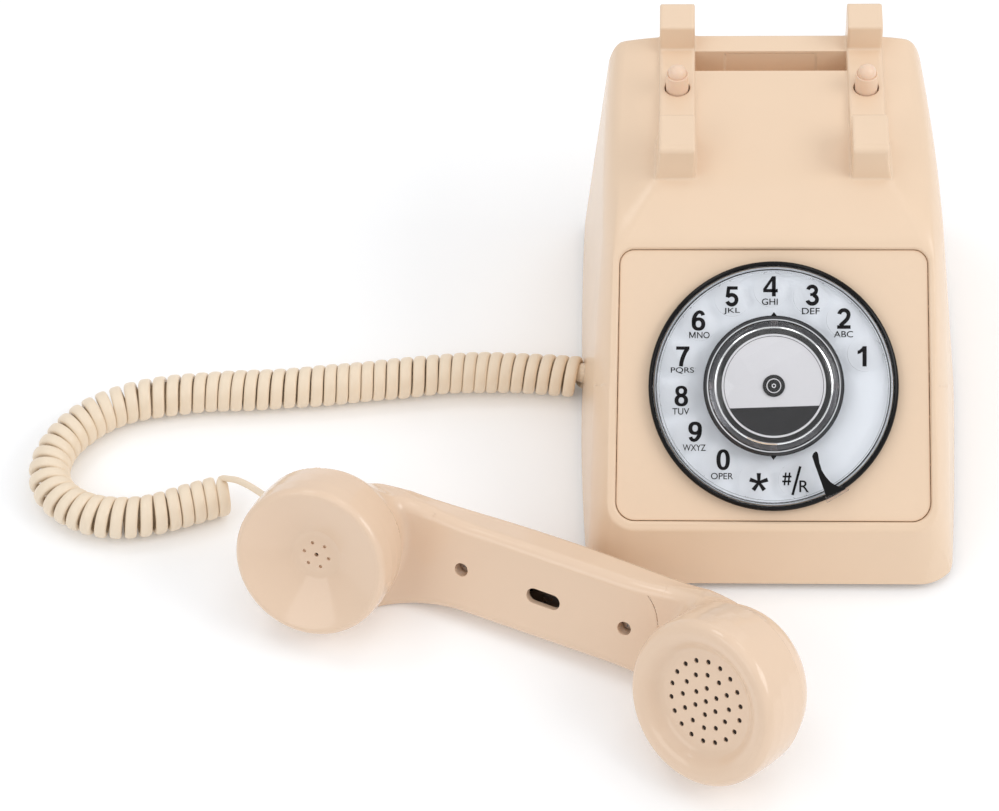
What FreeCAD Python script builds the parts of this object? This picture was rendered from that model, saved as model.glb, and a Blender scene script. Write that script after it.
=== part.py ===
import FreeCAD, Part
import math
import os

V = FreeCAD.Vector

# ---------------------------------------------------------------- driving dimensions (mm)
# Frame: X across, Y from front to back, Z up. The table is Z = 0. While the
# geometry is written, Y = 0 is the front bottom edge; everything is moved back
# by Y_SHIFT when it is written out, so the origin is the middle of the four feet.
Y_SHIFT = -94.0

# housing
Z_RIM = 3.5                 # lower rim of the upper shell above the table
WALL = 2.6                  # wall of the upper shell
DEPTH = 188.5               # front edge to rear edge at the foot of the walls
HALF_FRONT, HALF_MID, HALF_REAR = 69.2, 72.6, 70.6   # half widths of the plan at the foot
DRAFT = 6.0                 # draft of the side walls, degrees
SLOPE = 39.4                # slope of the dial face, degrees
FACE_Y, FACE_Z = 9.44, 28.95    # lower edge of the faceplate's front face
RIM_PROUD = 1.2             # the rim stands this far in front of the faceplate
FOREHEAD_FOOT = (89.4, 96.2)    # where the dial face ends
FOREHEAD_TOP = (110.0, 105.5)   # foot of the front prongs
PLATEAU_END = (184.0, 108.5)
SHOULDER_R = 18.0
REAR_TOP_R = 6.0

# faceplate
FACE_LEN = 99.4
FACE_W_BOTTOM, FACE_W_TOP = 115.2, 112.4
FACE_R_BOTTOM, FACE_R_TOP = 7.0, 5.3
FACE_T = 2.4
FACE_GAP = 0.3

# dial (heights are measured from the faceplate's front face)
DIAL_AT = 49.35             # dial centre up the slope from the faceplate's lower edge
BEZEL_R, BEZEL_IN, BEZEL_H = 45.7, 43.9, 4.0
PLATE_R, PLATE_T = 43.6, 0.8
WHEEL_R, WHEEL_Z0, WHEEL_Z1 = 43.4, 2.6, 5.6
FINGER_N, FINGER_AT, FINGER_R, FINGER_PITCH, FINGER_FIRST = 12, 35.3, 6.4, 24.0, 19.5
HUB_R, HUB_Z1 = 25.7, 8.2
CARD_R, CARD_Z, CARD_T = 21.2, 8.4, 0.5
CAP_R, CAP_Z1 = 23.9, 11.0
STOP_AT = -58.0             # angle of the finger stop on the dial
SHAFT_R, BUSH_R = 3.0, 6.0

# cradle
PRONG_X, PRONG_W = 35.4, 13.3
PRONG_TOP = 120.0
SADDLE_Z = 108.9
PLUNGER_Y, PLUNGER_R, PLUNGER_HOLE_R = 154.0, 4.25, 4.75
PLUNGER_COLLAR_H, PLUNGER_TRAVEL = 7.8, 9.0
PIVOT_Y, PIVOT_Z = 118.0, 86.0
LEVER_ARM = PLUNGER_Y - PIVOT_Y

# recess behind the platform
REC_Y0, REC_Y1, REC_HALF, REC_FLOOR = 164.2, 174.4, 28.6, 86.0

# handset, lying on its side in front of the base
HS_M = V(-168.25, -17.84, 37.19)     # centre of the mouthpiece rim
HS_X = V(0.91370, -0.40640, 0.00660)
HS_Z = V(-0.36360, -0.80970, 0.46060)
HS_SPAN = 153.6             # rim centre to rim centre
HS_TILT_M, HS_TILT_E = 6.8, 15.5    # the rims lean towards each other, degrees
HS_IN = -34.8               # inner face of the handle
HS_BACK = -56.3             # back of the handle at its middle
HS_HALF = 17.3
RIM_M, RIM_E = 28.4, 29.9
HS_SCREW = (-31.3, 34.3)
HS_SLOT = 1.9

# cord
COIL_D = 16.4               # outer diameter of the coiled cord
CORD_D = 3.2                # tail of the cord, as a round tube
COIL_ROUTE = [(-80.0, 97.5, 8.4), (-110.0, 100.5, 8.4), (-149.0, 95.0, 8.4), (-189.0, 90.0, 8.4),
              (-225.0, 88.5, 8.4), (-255.0, 81.5, 8.4), (-273.5, 62.0, 8.4), (-275.0, 40.0, 8.4),
              (-258.0, 26.5, 8.4), (-237.0, 25.5, 8.4), (-218.0, 33.0, 8.4), (-204.5, 38.0, 8.4)]
GLAND_OUT = (-77.0, 97.2, 8.4)
TAIL_ROUTE = [(-204.5, 38.0, 13.2), (-197.0, 40.7, 14.1), (-190.2, 38.7, 17.8), (-186.4, 32.2, 22.5), (-185.2, 23.5, 27.3), (-185.2, 16.6, 30.6)]

OUT = "parts"
os.makedirs(OUT, exist_ok=True)


def save(name, shape):
    s = shape.copy()
    s.translate(V(0, Y_SHIFT, 0))
    if not s.isValid():
        s = s.removeSplitter()
    s.exportStep(os.path.join(OUT, name + ".step"))
    b = s.BoundBox
    print("%-22s valid %s solids %d vol %.0f box %.1f..%.1f %.1f..%.1f %.1f..%.1f" % (
        name, s.isValid(), len(s.Solids), s.Volume, b.XMin, b.XMax, b.YMin, b.YMax, b.ZMin, b.ZMax))


def box(x0, x1, y0, y1, z0, z1):
    return Part.makeBox(x1 - x0, y1 - y0, z1 - z0, V(x0, y0, z0))


def cyl(r, z0, z1, x=0.0, y=0.0):
    return Part.makeCylinder(r, z1 - z0, V(x, y, z0), V(0, 0, 1))


def cylx(r, x0, x1, y, z):
    return Part.makeCylinder(r, x1 - x0, V(x0, y, z), V(1, 0, 0))


def revolve(pts):
    """closed (r, z) outline turned about Z"""
    w = Part.makePolygon([V(r, 0, z) for r, z in pts] + [V(pts[0][0], 0, pts[0][1])])
    return Part.Face(w).revolve(V(0, 0, 0), V(0, 0, 1), 360)


def place(x, y, z, o):
    m = FreeCAD.Matrix(x.x, y.x, z.x, o.x, x.y, y.y, z.y, o.y, x.z, y.z, z.z, o.z, 0, 0, 0, 1)
    return FreeCAD.Placement(m)


def put(shape, pl):
    s = shape.copy()
    s.Placement = pl.multiply(s.Placement)
    return s


def fillet2d(pts, rad):
    out = []
    n = len(pts)
    for i in range(n):
        p, a, b, r = pts[i], pts[i - 1], pts[(i + 1) % n], rad[i]
        u = (a[0] - p[0], a[1] - p[1])
        v = (b[0] - p[0], b[1] - p[1])
        lu, lv = math.hypot(*u), math.hypot(*v)
        u = (u[0] / lu, u[1] / lu)
        v = (v[0] / lv, v[1] / lv)
        if r <= 0:
            out.append((p, p, None))
            continue
        th = math.acos(max(-1, min(1, u[0] * v[0] + u[1] * v[1])))
        d = r / math.tan(th / 2)
        s = (p[0] + u[0] * d, p[1] + u[1] * d)
        e = (p[0] + v[0] * d, p[1] + v[1] * d)
        bi = (u[0] + v[0], u[1] + v[1])
        L = math.hypot(*bi)
        h = r / math.sin(th / 2)
        out.append((s, e, (p[0] + bi[0] / L * (h - r), p[1] + bi[1] / L * (h - r))))
    return out


def round_wire(pts, rad, f):
    tp = fillet2d(pts, rad)
    ed = []
    n = len(tp)
    for i in range(n):
        s, e, m = tp[i]
        if m:
            ed.append(Part.Arc(f(s), f(m), f(e)).toShape())
        nx = tp[(i + 1) % n][0]
        if math.hypot(e[0] - nx[0], e[1] - nx[1]) > 1e-6:
            ed.append(Part.makeLine(f(e), f(nx)))
    return Part.Wire(ed)


def round_prism(pts, rad, z0, z1):
    w = round_wire(pts, rad, lambda p: V(p[0], p[1], z0))
    return Part.Face(w).extrude(V(0, 0, z1 - z0))


def rect(w, h, r, z0, z1, cx=0.0, cy=0.0):
    return round_prism([(cx - w / 2, cy - h / 2), (cx + w / 2, cy - h / 2), (cx + w / 2, cy + h / 2), (cx - w / 2, cy + h / 2)], [r] * 4, z0, z1)


# ---------------------------------------------------------------- housing envelope
CS, SN = math.cos(math.radians(SLOPE)), math.sin(math.radians(SLOPE))


def isect(p, d, q, e):
    den = d[0] * e[1] - d[1] * e[0]
    s = ((q[0] - p[0]) * e[1] - (q[1] - p[1]) * e[0]) / den
    return (p[0] + d[0] * s, p[1] + d[1] * s)


def side_profile(t):
    """side outline (Y, Z) of the housing, moved inwards by t"""
    B = (FACE_Y - RIM_PROUD * SN + t * SN, FACE_Z + RIM_PROUD * CS - t * CS)
    cl = math.hypot(4.43, 22.9)
    cd = (4.43 / cl, 22.9 / cl)
    C0 = (cd[1] * t, Z_RIM - cd[0] * t)
    P1 = isect(C0, cd, B, (CS, SN))
    fh = (FOREHEAD_TOP[0] - FOREHEAD_FOOT[0], FOREHEAD_TOP[1] - FOREHEAD_FOOT[1])
    L = math.hypot(*fh)
    fd = (fh[0] / L, fh[1] / L)
    F0 = (FOREHEAD_TOP[0] + fd[1] * t, FOREHEAD_TOP[1] - fd[0] * t)
    P4 = isect(B, (CS, SN), F0, fd)
    pl = (PLATEAU_END[0] - FOREHEAD_TOP[0], PLATEAU_END[1] - FOREHEAD_TOP[1])
    L = math.hypot(*pl)
    pd = (pl[0] / L, pl[1] / L)
    T0 = (PLATEAU_END[0] + pd[1] * t, PLATEAU_END[1] - pd[0] * t)
    P5 = isect(F0, fd, T0, pd)
    bk = (DEPTH - PLATEAU_END[0], Z_RIM - PLATEAU_END[1])
    L = math.hypot(*bk)
    bd = (bk[0] / L, bk[1] / L)
    K0 = (PLATEAU_END[0] + bd[1] * t, PLATEAU_END[1] - bd[0] * t)
    P6 = isect(T0, pd, K0, bd)
    z0 = Z_RIM if t == 0 else Z_RIM - 1
    return [isect(C0, cd, (0, z0), (1, 0)), P1, P4, P5, P6, isect(K0, bd, (0, z0), (1, 0))]


def side_solid(t):
    r = [0, 3.2, 6, 45, 5.5, 0] if t == 0 else [0, max(.6, 3.2 - t), max(1, 6 - t), 40, max(1, 5.5 - t), 0]
    w = round_wire(side_profile(t), r, lambda p: V(-90, p[0], p[1]))
    return Part.Face(w).extrude(V(180, 0, 0))


def plan_wire(z, t, ins=0.0, ins_back=0.0, rf=10.0, rr=12.0):
    """barrel shaped plan outline at height z, moved inwards by t"""
    dr = math.tan(math.radians(DRAFT)) * (z - Z_RIM)
    yf = 0.1935 * (z - Z_RIM) + t * 1.02
    yb = DEPTH - 0.0429 * (z - Z_RIM) - t - ins_back
    wf, wm, wr = HALF_FRONT - dr - t - ins, HALF_MID - dr - t - ins, HALF_REAR - dr * 1.1 - t - ins
    rf, rr = max(3.0, rf - t), max(3.0, rr - t)
    ym = (yf + yb) / 2 + 14
    c = Part.Circle(V(wf, yf, z), V(wm, ym, z), V(wr, yb, z))
    C, R = c.Center, c.Radius

    def corner(y0, r, sgn):
        cy = y0 + sgn * r
        cx = C.x + math.sqrt((R - r) ** 2 - (cy - C.y) ** 2)
        cen = V(cx, cy, z)
        d = cen - C
        d.normalize()
        ps = C + d * R
        pe = V(cx, y0, z)
        m = (ps + pe) * 0.5 - cen
        m.normalize()
        return ps, cen + m * r, pe
    fs, fm, fe = corner(yf, rf, 1)
    bs, bm, be = corner(yb, rr, -1)
    mir = lambda p: V(-p.x, p.y, p.z)
    ang = lambda p: math.atan2(p.y - C.y, p.x - C.x)
    am = (ang(fs) + ang(bs)) / 2
    mid = V(C.x + R * math.cos(am), C.y + R * math.sin(am), z)
    return Part.Wire([Part.Arc(fe, fm, fs).toShape(), Part.Arc(fs, mid, bs).toShape(), Part.Arc(bs, bm, be).toShape(),
                      Part.makeLine(be, mir(be)),
                      Part.Arc(mir(be), mir(bm), mir(bs)).toShape(), Part.Arc(mir(bs), mir(mid), mir(fs)).toShape(),
                      Part.Arc(mir(fs), mir(fm), mir(fe)).toShape(), Part.makeLine(mir(fe), fe)])


def plan_solid(t):
    z0 = Z_RIM if t == 0 else Z_RIM - 1
    zs = 112.0 - t - SHOULDER_R
    lo = Part.makeLoft([plan_wire(z0, t), plan_wire(zs, t)], True, True)
    ws = [plan_wire(zs, t)]
    for i in range(1, 8):
        a = math.pi / 2 * i / 7 * 0.97
        ws.append(plan_wire(zs + SHOULDER_R * math.sin(a), t, SHOULDER_R * (1 - math.cos(a)), REAR_TOP_R * (1 - math.cos(a))))
    return lo.fuse(Part.makeLoft(ws, True, False))


def envelope(t):
    return side_solid(t).common(plan_solid(t)).removeSplitter().Solids[0]


# the dial face's own frame: x across, y up the slope, z out of the face
FACE = place(V(1, 0, 0), V(0, CS, SN), V(0, -SN, CS), V(0, FACE_Y, FACE_Z))
DIAL = place(V(1, 0, 0), V(0, CS, SN), V(0, -SN, CS), V(0, FACE_Y + DIAL_AT * CS, FACE_Z + DIAL_AT * SN))


def face_outline(off, z0, z1):
    wb, wt = FACE_W_BOTTOM / 2 + off, FACE_W_TOP / 2 + off
    return round_prism([(-wb, -off), (wb, -off), (wt, FACE_LEN + off), (-wt, FACE_LEN + off)],
                       [FACE_R_BOTTOM + off, FACE_R_BOTTOM + off, FACE_R_TOP + off, FACE_R_TOP + off], z0, z1)


outer = envelope(0.0)
inner = envelope(WALL)
print("outer", outer.isValid(), outer.Volume, "inner", inner.isValid(), inner.Volume)
shell = outer.cut(inner)

# ledge under the faceplate and its window
ledge = put(face_outline(2.4, -5.2, -0.8), FACE).common(outer)
shell = shell.fuse(ledge)
shell = shell.cut(put(face_outline(-4.5, -9.0, 3.0), FACE))
shell = shell.cut(put(face_outline(FACE_GAP, -FACE_T - 0.2, 6.0), FACE))

# cradle bars with their two prongs each
def bar_profile():
    Pt, S = PRONG_TOP, SADDLE_Z
    pts = [(109.6, 102.0), (110.0, 106.0), (110.6, Pt - 0.6), (128.6, Pt + 0.2), (131.6, S), (172.6, S), (174.6, Pt), (187.0, Pt), (186.6, 104.0), (184.5, 102.0)]
    rad = [0, 0, 4.5, 1.6, 6.0, 4.0, 1.6, 2.2, 0, 0]
    return pts, rad


for s in (-1, 1):
    pts, rad = bar_profile()
    w = round_wire(pts, rad, lambda p: V(s * PRONG_X - PRONG_W / 2, p[0], p[1]))
    shell = shell.fuse(Part.Face(w).extrude(V(PRONG_W, 0, 0)))
    shell = shell.fuse(cyl(6.6, 95.0, 106.0, s * PRONG_X, PLUNGER_Y))
# recess box
rec = box(-REC_HALF - 2.4, REC_HALF + 2.4, REC_Y0 - 2.4, REC_Y1 + 2.4, REC_FLOOR - 2.4, 107.0)
shell = shell.fuse(rec)
shell = shell.cut(box(-REC_HALF, REC_HALF, REC_Y0, REC_Y1, REC_FLOOR, 125.0))
for s in (-1, 1):
    shell = shell.cut(cyl(PLUNGER_R + 0.1, 90.0, 107.0, s * PRONG_X, PLUNGER_Y))
    shell = shell.cut(cyl(PLUNGER_HOLE_R, 106.4, 112.0, s * PRONG_X, PLUNGER_Y))
# screw posts of the base pan
POSTS = [(-56.0, 24.0), (56.0, 24.0), (-54.0, 164.0), (54.0, 164.0)]
core = envelope(1.2)
for x, y in POSTS:
    top = 38.0 if y < 60 else 106.0
    shell = shell.fuse(cyl(4.2, 6.4, top, x, y).common(core))
    shell = shell.cut(cyl(1.35, 6.0, 20.0, x, y))
shell = shell.cut(put(face_outline(FACE_GAP, -FACE_T - 0.2, 6.0), FACE))
# posts that carry the hook bracket
HOOK_POST = [(-22.0, 112.0), (22.0, 112.0)]
for x, y in HOOK_POST:
    shell = shell.fuse(cyl(3.6, 97.4, 104.0, x, y))
    shell = shell.cut(cyl(1.1, 96.0, 102.0, x, y))
# hole for the cord gland at the left, for the line jack at the back
shell = shell.cut(cylx(4.0, -80.0, -60.0, 97.2, 10.4))
shell = shell.cut(box(24.9, 39.1, 180.0, 192.0, 8.9, 20.1))
shell = shell.removeSplitter()
save("upper_shell", shell)

# ---------------------------------------------------------------- base pan, feet, screws
pan = Part.Face(plan_wire(Z_RIM + 0.1, WALL + 0.75)).extrude(V(0, 0, 2.5))
pan = pan.common(side_solid(WALL + 0.75).fuse(box(-90, 90, 1.5, 186.5, 3.0, 6.2)))
for x, y in POSTS:
    pan = pan.cut(cyl(1.7, 3.0, 7.0, x, y)).cut(cyl(3.4, 3.0, 4.6, x, y))
SPK = (0.0, 42.0)
for i in range(-3, 4):
    h = 14.0 - abs(i) * 2.2
    pan = pan.cut(box(SPK[0] + i * 4.2 - 1.0, SPK[0] + i * 4.2 + 1.0, SPK[1] - h, SPK[1] + h, 3.0, 7.0))
STANDOFF = [(-40.0, 90.0), (40.0, 90.0), (-40.0, 150.0), (40.0, 150.0)]
for x, y in STANDOFF:
    pan = pan.fuse(cyl(3.5, 6.0, 13.0, x, y)).cut(cyl(1.05, 7.5, 14.0, x, y))
ringp = cyl(22.0, 6.0, 11.0, *SPK).cut(cyl(20.3, 5.9, 11.1, *SPK))
pan = pan.fuse(ringp)
FEET = [(-54.0, 40.0), (54.0, 40.0), (-52.0, 148.0), (52.0, 148.0)]
for x, y in FEET:
    pan = pan.cut(cyl(2.6, 3.0, 7.0, x, y))
pan = pan.removeSplitter()
save("base_pan", pan)
save("rubber_feet", Part.makeCompound([cyl(7.0, 0.0, 3.55, x, y).fuse(cyl(2.5, 3.5, 6.0, x, y)) for x, y in FEET]))
save("pan_screws", Part.makeCompound([cyl(3.0, 3.8, 4.6, x, y).fuse(cyl(1.25, 4.5, 14.0, x, y)) for x, y in POSTS]))

# ---------------------------------------------------------------- faceplate and dial
plate = face_outline(0.0, -FACE_T, 0.0)
C0 = V(0, DIAL_AT, 0)
plate = plate.cut(Part.makeCylinder(BUSH_R + 0.05, 10, V(0, DIAL_AT, -6)))
DS = [(-24.0, 0.0), (24.0, 0.0), (0.0, 24.0), (0.0, -24.0)]
for x, y in DS:
    plate = plate.cut(Part.makeCylinder(1.3, 10, V(x, y + DIAL_AT, -6)))
save("faceplate", put(plate, FACE))
bez = revolve([(BEZEL_IN, 0.0), (BEZEL_R, 0.0), (BEZEL_R, BEZEL_H - 0.8), (BEZEL_R - 0.8, BEZEL_H), (BEZEL_IN + 0.5, BEZEL_H), (BEZEL_IN, BEZEL_H - 0.6)])
save("dial_bezel", put(bez, DIAL))
npl = cyl(PLATE_R, 0.0, PLATE_T).cut(cyl(BUSH_R + 0.05, -1, 2))
save("number_plate", put(npl, DIAL))

wheel = revolve([(SHAFT_R + 0.02, WHEEL_Z0), (WHEEL_R, WHEEL_Z0), (WHEEL_R, WHEEL_Z1 - 0.6), (WHEEL_R - 0.6, WHEEL_Z1), (SHAFT_R + 0.02, WHEEL_Z1)])
for i in range(FINGER_N):
    a = math.radians(FINGER_FIRST + FINGER_PITCH * i)
    wheel = wheel.cut(cyl(FINGER_R, 0, 9, FINGER_AT * math.cos(a), FINGER_AT * math.sin(a)))
save("finger_wheel", put(wheel, DIAL))

hub = revolve([(SHAFT_R + 0.02, WHEEL_Z1), (HUB_R, WHEEL_Z1), (HUB_R, WHEEL_Z1 + 1.4), (HUB_R - 1.4, HUB_Z1), (CAP_R + 0.1, HUB_Z1), (CAP_R + 0.1, HUB_Z1 - 1.2),
               (SHAFT_R + 0.02, HUB_Z1 - 1.2)])
for s in (1, -1):
    hub = hub.fuse(cyl(0.9, WHEEL_Z1 + 0.1, WHEEL_Z1 + 1.6, 0, s * (HUB_R + 0.3)))
save("dial_hub", put(hub.removeSplitter(), DIAL))
CZ = HUB_Z1 - 1.2
save("dial_card", put(cyl(CARD_R, CZ, CZ + CARD_T).cut(cyl(4.6, CZ - 1, CZ + 2)), DIAL))
cap = revolve([(0, CZ + 2.4), (0, CZ + 3.6), (20.4, CZ + 3.6), (22.9, CZ + 2.8), (CAP_R, CZ + 1.5), (CAP_R, CZ), (CARD_R + 0.3, CZ), (CARD_R + 0.3, CZ + 1.4), (20.4, CZ + 2.4)])
save("card_cap", put(cap, DIAL))
# the shaft carries the wheel, the hub and the sensor disc
shaft = revolve([(0, -22.0), (SHAFT_R, -22.0), (SHAFT_R, CZ), (0, CZ)])
save("dial_shaft", put(shaft, DIAL))
save("hub_screw", put(cyl(4.2, CZ, CZ + 1.6), DIAL))
bush = revolve([(SHAFT_R + 0.05, -8.0), (BUSH_R, -8.0), (BUSH_R, 0.0), (BUSH_R + 2.4, 0.81), (BUSH_R + 2.4, 2.2), (SHAFT_R + 0.05, 2.2)])
bush = bush.cut(revolve([(BUSH_R, -0.1), (BUSH_R + 3, -0.1), (BUSH_R + 3, 0.8), (BUSH_R, 0.8)]))
save("dial_bush", put(bush, DIAL))
# mechanism cup under the faceplate
cup = revolve([(BUSH_R + 0.3, -4.2), (30.0, -4.2), (30.0, -20.0), (28.2, -20.0), (28.2, -6.0), (BUSH_R + 0.3, -6.0)])
for x, y in DS:
    cup = cup.fuse(cyl(3.0, -4.3, -FACE_T - 0.02, x, y)).cut(cyl(1.3, -7, 0, x, y))
cup = cup.cut(box(20, 40, -9, 9, -21, -9))
save("dial_frame", put(cup.removeSplitter(), DIAL))
save("dial_screws", put(Part.makeCompound([cyl(1.25, -6.0, -1.0, x, y).fuse(cyl(2.4, -7.4, -6.0, x, y)) for x, y in DS]), DIAL))
# pulse disc with slots, on the shaft
disc = cyl(22.0, -17.0, -16.0).cut(cyl(SHAFT_R + 0.02, -19, -14))
for i in range(24):
    a = math.radians(15 * i)
    sl = box(17.0, 20.5, -0.7, 0.7, -18, -15)
    sl.rotate(V(0, 0, 0), V(0, 0, 1), 15 * i)
    disc = disc.cut(sl)
save("pulse_disc", put(disc, DIAL))
# spiral return spring between the shaft and the cup
ed = []
r = 4.4
step = 0.75
p = V(r, 0, -14.0)
sgn = 1
cx = 0.0
pts = []
for i in range(15):
    c = V(cx, 0, -14.0)
    a0 = 0 if i % 2 == 0 else math.pi
    m = V(cx, r if i % 2 == 0 else -r, -14.0)
    q = V(cx - r, 0, -14.0) if i % 2 == 0 else V(cx + r, 0, -14.0)
    ed.append(Part.Arc(p, m, q).toShape())
    p = q
    cx = cx + (step / 2 if i % 2 == 0 else -step / 2)
    r = r + step / 2
    # next centre keeps the end point on the next circle
    cx = p.x + r if i % 2 == 0 else p.x - r
path = Part.Wire(ed)
prof = Part.Wire(Part.makePolygon([V(4.4 - 0.15, 0, -14.0), V(4.4 + 0.15, 0, -14.0), V(4.4 + 0.15, 0, -10.0), V(4.4 - 0.15, 0, -10.0), V(4.4 - 0.15, 0, -14.0)]))
spr = path.makePipeShell([prof], True, False)
save("return_spring", put(spr, DIAL))
# optical sensor on a small board, straddling the pulse disc
sen = box(15.5, 27.0, -5.0, 5.0, -20.4, -19.0).fuse(box(21.0, 26.0, -3.0, 3.0, -19.0, -12.6)).fuse(box(17.0, 22.0, -3.0, 3.0, -14.6, -12.6)).cut(box(16.0, 22.8, -4.0, 4.0, -17.6, -15.0))
sen = sen.fuse(box(17.0, 21.0, -3.0, 3.0, -19.05, -17.8))
save("pulse_sensor", put(sen.removeSplitter(), DIAL))
# finger stop: a curved blade that reaches over the wheel from a foot on the faceplate
ZS = WHEEL_Z1 + 0.9
a = math.radians(STOP_AT)
stop = round_prism([(25.0 + 3.2, -0.8), (30.0, -2.2), (38.0, -4.4), (46.2, -6.4), (49.2, -6.0), (49.2, 5.4), (45.0, 4.4), (38.5, 1.4), (32.0, -0.2), (28.4, 0.2)],
                   [0.3, 0, 0, 1.0, 0.8, 0.8, 1.0, 0, 0, 0.3], ZS, ZS + 1.2)
foot = round_prism([(46.2, -6.4), (50.4, -6.0), (50.4, 5.4), (46.2, 4.6)], [0.5] * 4, 0.0, ZS + 0.02)
stop = stop.fuse(foot)
stop.rotate(V(0, 0, 0), V(0, 0, 1), STOP_AT)
save("finger_stop", put(stop.removeSplitter(), DIAL))

# ---------------------------------------------------------------- hook switch
for s, nm in ((-1, "plunger_left"), (1, "plunger_right")):
    x = s * PRONG_X
    top = SADDLE_Z + PLUNGER_COLLAR_H
    pl = cyl(PLUNGER_R, 94.0, top, x, PLUNGER_Y)
    pl = pl.fuse(cyl(3.3, top - 0.5, top + 2.2, x, PLUNGER_Y)).fuse(Part.makeSphere(3.3, V(x, PLUNGER_Y, top + 2.1)))
    pl = pl.fuse(cyl(5.6, 92.4, 94.2, x, PLUNGER_Y)).fuse(cyl(2.2, 90.0, 92.5, x, PLUNGER_Y)).fuse(Part.makeSphere(2.2, V(x, PLUNGER_Y, 90.2)))
    save(nm, pl.removeSplitter())
PAD = 87.2          # upper face of the lever's pads
lev = cylx(3.6, -39.4, 39.4, PIVOT_Y, PIVOT_Z).cut(cylx(1.56, -41, 41, PIVOT_Y, PIVOT_Z))
for s in (-1, 1):
    lev = lev.fuse(box(s * PRONG_X - 4.0, s * PRONG_X + 4.0, PIVOT_Y + 2.0, PLUNGER_Y + 4.0, 84.8, PAD))
lev = lev.fuse(box(-39.4, 39.4, 136.0, 140.0, 84.8, PAD))
lev = lev.cut(cylx(1.56, -41, 41, PIVOT_Y, PIVOT_Z))
lev = lev.cut(box(-28.4, 28.4, PIVOT_Y - 6, PIVOT_Y + 6, 80, 92))
save("hook_lever", lev.removeSplitter())
save("hook_pin", cylx(1.5, -42.0, 42.0, PIVOT_Y, PIVOT_Z))
br = box(-30, 30, 106.0, 124.0, 95.6, 97.2)
for s in (-1, 1):
    br = br.fuse(box(s * 26.0 - 1.0, s * 26.0 + 1.0, 112.0, 124.0, 81.5, 96.0))
br = br.fuse(box(-6.0, 6.0, 122.6, 124.0, 72.0, 96.0)).fuse(box(-6.0, 6.0, 124.0, 146.0, 64.4, 65.8)).fuse(box(-6.0, 6.0, 122.6, 124.0, 64.4, 73.0))
br = br.cut(cylx(1.56, -45, 45, PIVOT_Y, PIVOT_Z))
for x, y in HOOK_POST:
    br = br.cut(cyl(1.3, 90, 99, x, y))
save("hook_bracket", br.removeSplitter())
save("bracket_screws", Part.makeCompound([cyl(2.2, 94.2, 95.6, x, y).fuse(cyl(1.05, 95.5, 101.0, x, y)) for x, y in HOOK_POST]))
# torsion spring round the pin, one leg under the lever's cross bar
R_SP, r_sp = 2.9, 0.5
n_sp = 6
up = []
for i in range(n_sp):
    x = -2.4 + 0.96 * i
    for k in range(7):
        a = math.pi - math.pi * k / 6
        up.append((x + 0.48 * math.cos(a), R_SP + 0.15 + 0.35 * math.sin(a)))
outline = up + [(up[-1][0], R_SP - 0.5), (up[0][0], R_SP - 0.5)]
clean = [outline[0]]
for q in outline[1:]:
    if math.hypot(q[0] - clean[-1][0], q[1] - clean[-1][1]) > 1e-4:
        clean.append(q)
if math.hypot(clean[0][0] - clean[-1][0], clean[0][1] - clean[-1][1]) < 1e-4:
    clean.pop()
w = Part.makePolygon([V(q[0], PIVOT_Y + q[1], PIVOT_Z) for q in clean + [clean[0]]])
sp = Part.Face(w).revolve(V(0, PIVOT_Y, PIVOT_Z), V(1, 0, 0), 360)
sp = sp.fuse(Part.makeCylinder(r_sp, 9.0, V(1.6, PIVOT_Y - 9.0, PIVOT_Z + R_SP), V(0, 1, 0)))
sp = sp.fuse(Part.makeCylinder(r_sp, 9.0, V(-1.6, PIVOT_Y - 9.0, PIVOT_Z - R_SP), V(0, 1, 0)))
save("hook_spring", sp.removeSplitter())
sw = box(-5.0, 5.0, 126.0, 144.0, 65.9, 77.4).fuse(cyl(1.2, 77.0, 78.9, 0, 138.0)).fuse(box(-2.0, 2.0, 127.0, 143.0, 78.8, 79.2))
sw = sw.fuse(box(-2.0, 2.0, 127.0, 127.6, 77.3, 79.1))
save("hook_switch", sw.removeSplitter())

# ---------------------------------------------------------------- electronics
pcb = rect(92.0, 74.0, 2.0, 13.0, 14.6, 0.0, 120.0)
for x, y in STANDOFF:
    pcb = pcb.cut(cyl(1.3, 12, 16, x, y))
for x0, x1, y0, y1, h in ((-30, -12, 100, 118, 2.0), (2, 12, 96, 104, 1.6), (18, 34, 108, 120, 8.0), (-36, -28, 124, 142, 6.0), (-8, 6, 128, 140, 3.0), (14, 24, 132, 142, 4.0), (-20, -14, 90, 96, 5.0)):
    pcb = pcb.fuse(box(x0, x1, y0, y1, 14.55, 14.6 + h))
save("main_board", pcb.removeSplitter())
save("board_screws", Part.makeCompound([cyl(2.2, 14.6, 16.0, x, y).fuse(cyl(1.0, 9.0, 14.7, x, y)) for x, y in STANDOFF]))
spk = cyl(20.0, 6.1, 9.0, *SPK).fuse(cyl(12.0, 8.9, 15.0, *SPK))
save("ringer_speaker", spk.removeSplitter())
jack = box(25.2, 38.8, 172.0, 187.6, 9.2, 19.8).cut(box(27.2, 36.8, 178.0, 190.0, 11.0, 17.8)).cut(box(30.0, 34.0, 178.0, 190.0, 9.9, 11.1))
jack = jack.fuse(box(25.2, 38.8, 172.0, 178.0, 6.25, 9.4))
save("line_jack", jack.removeSplitter())

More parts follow.
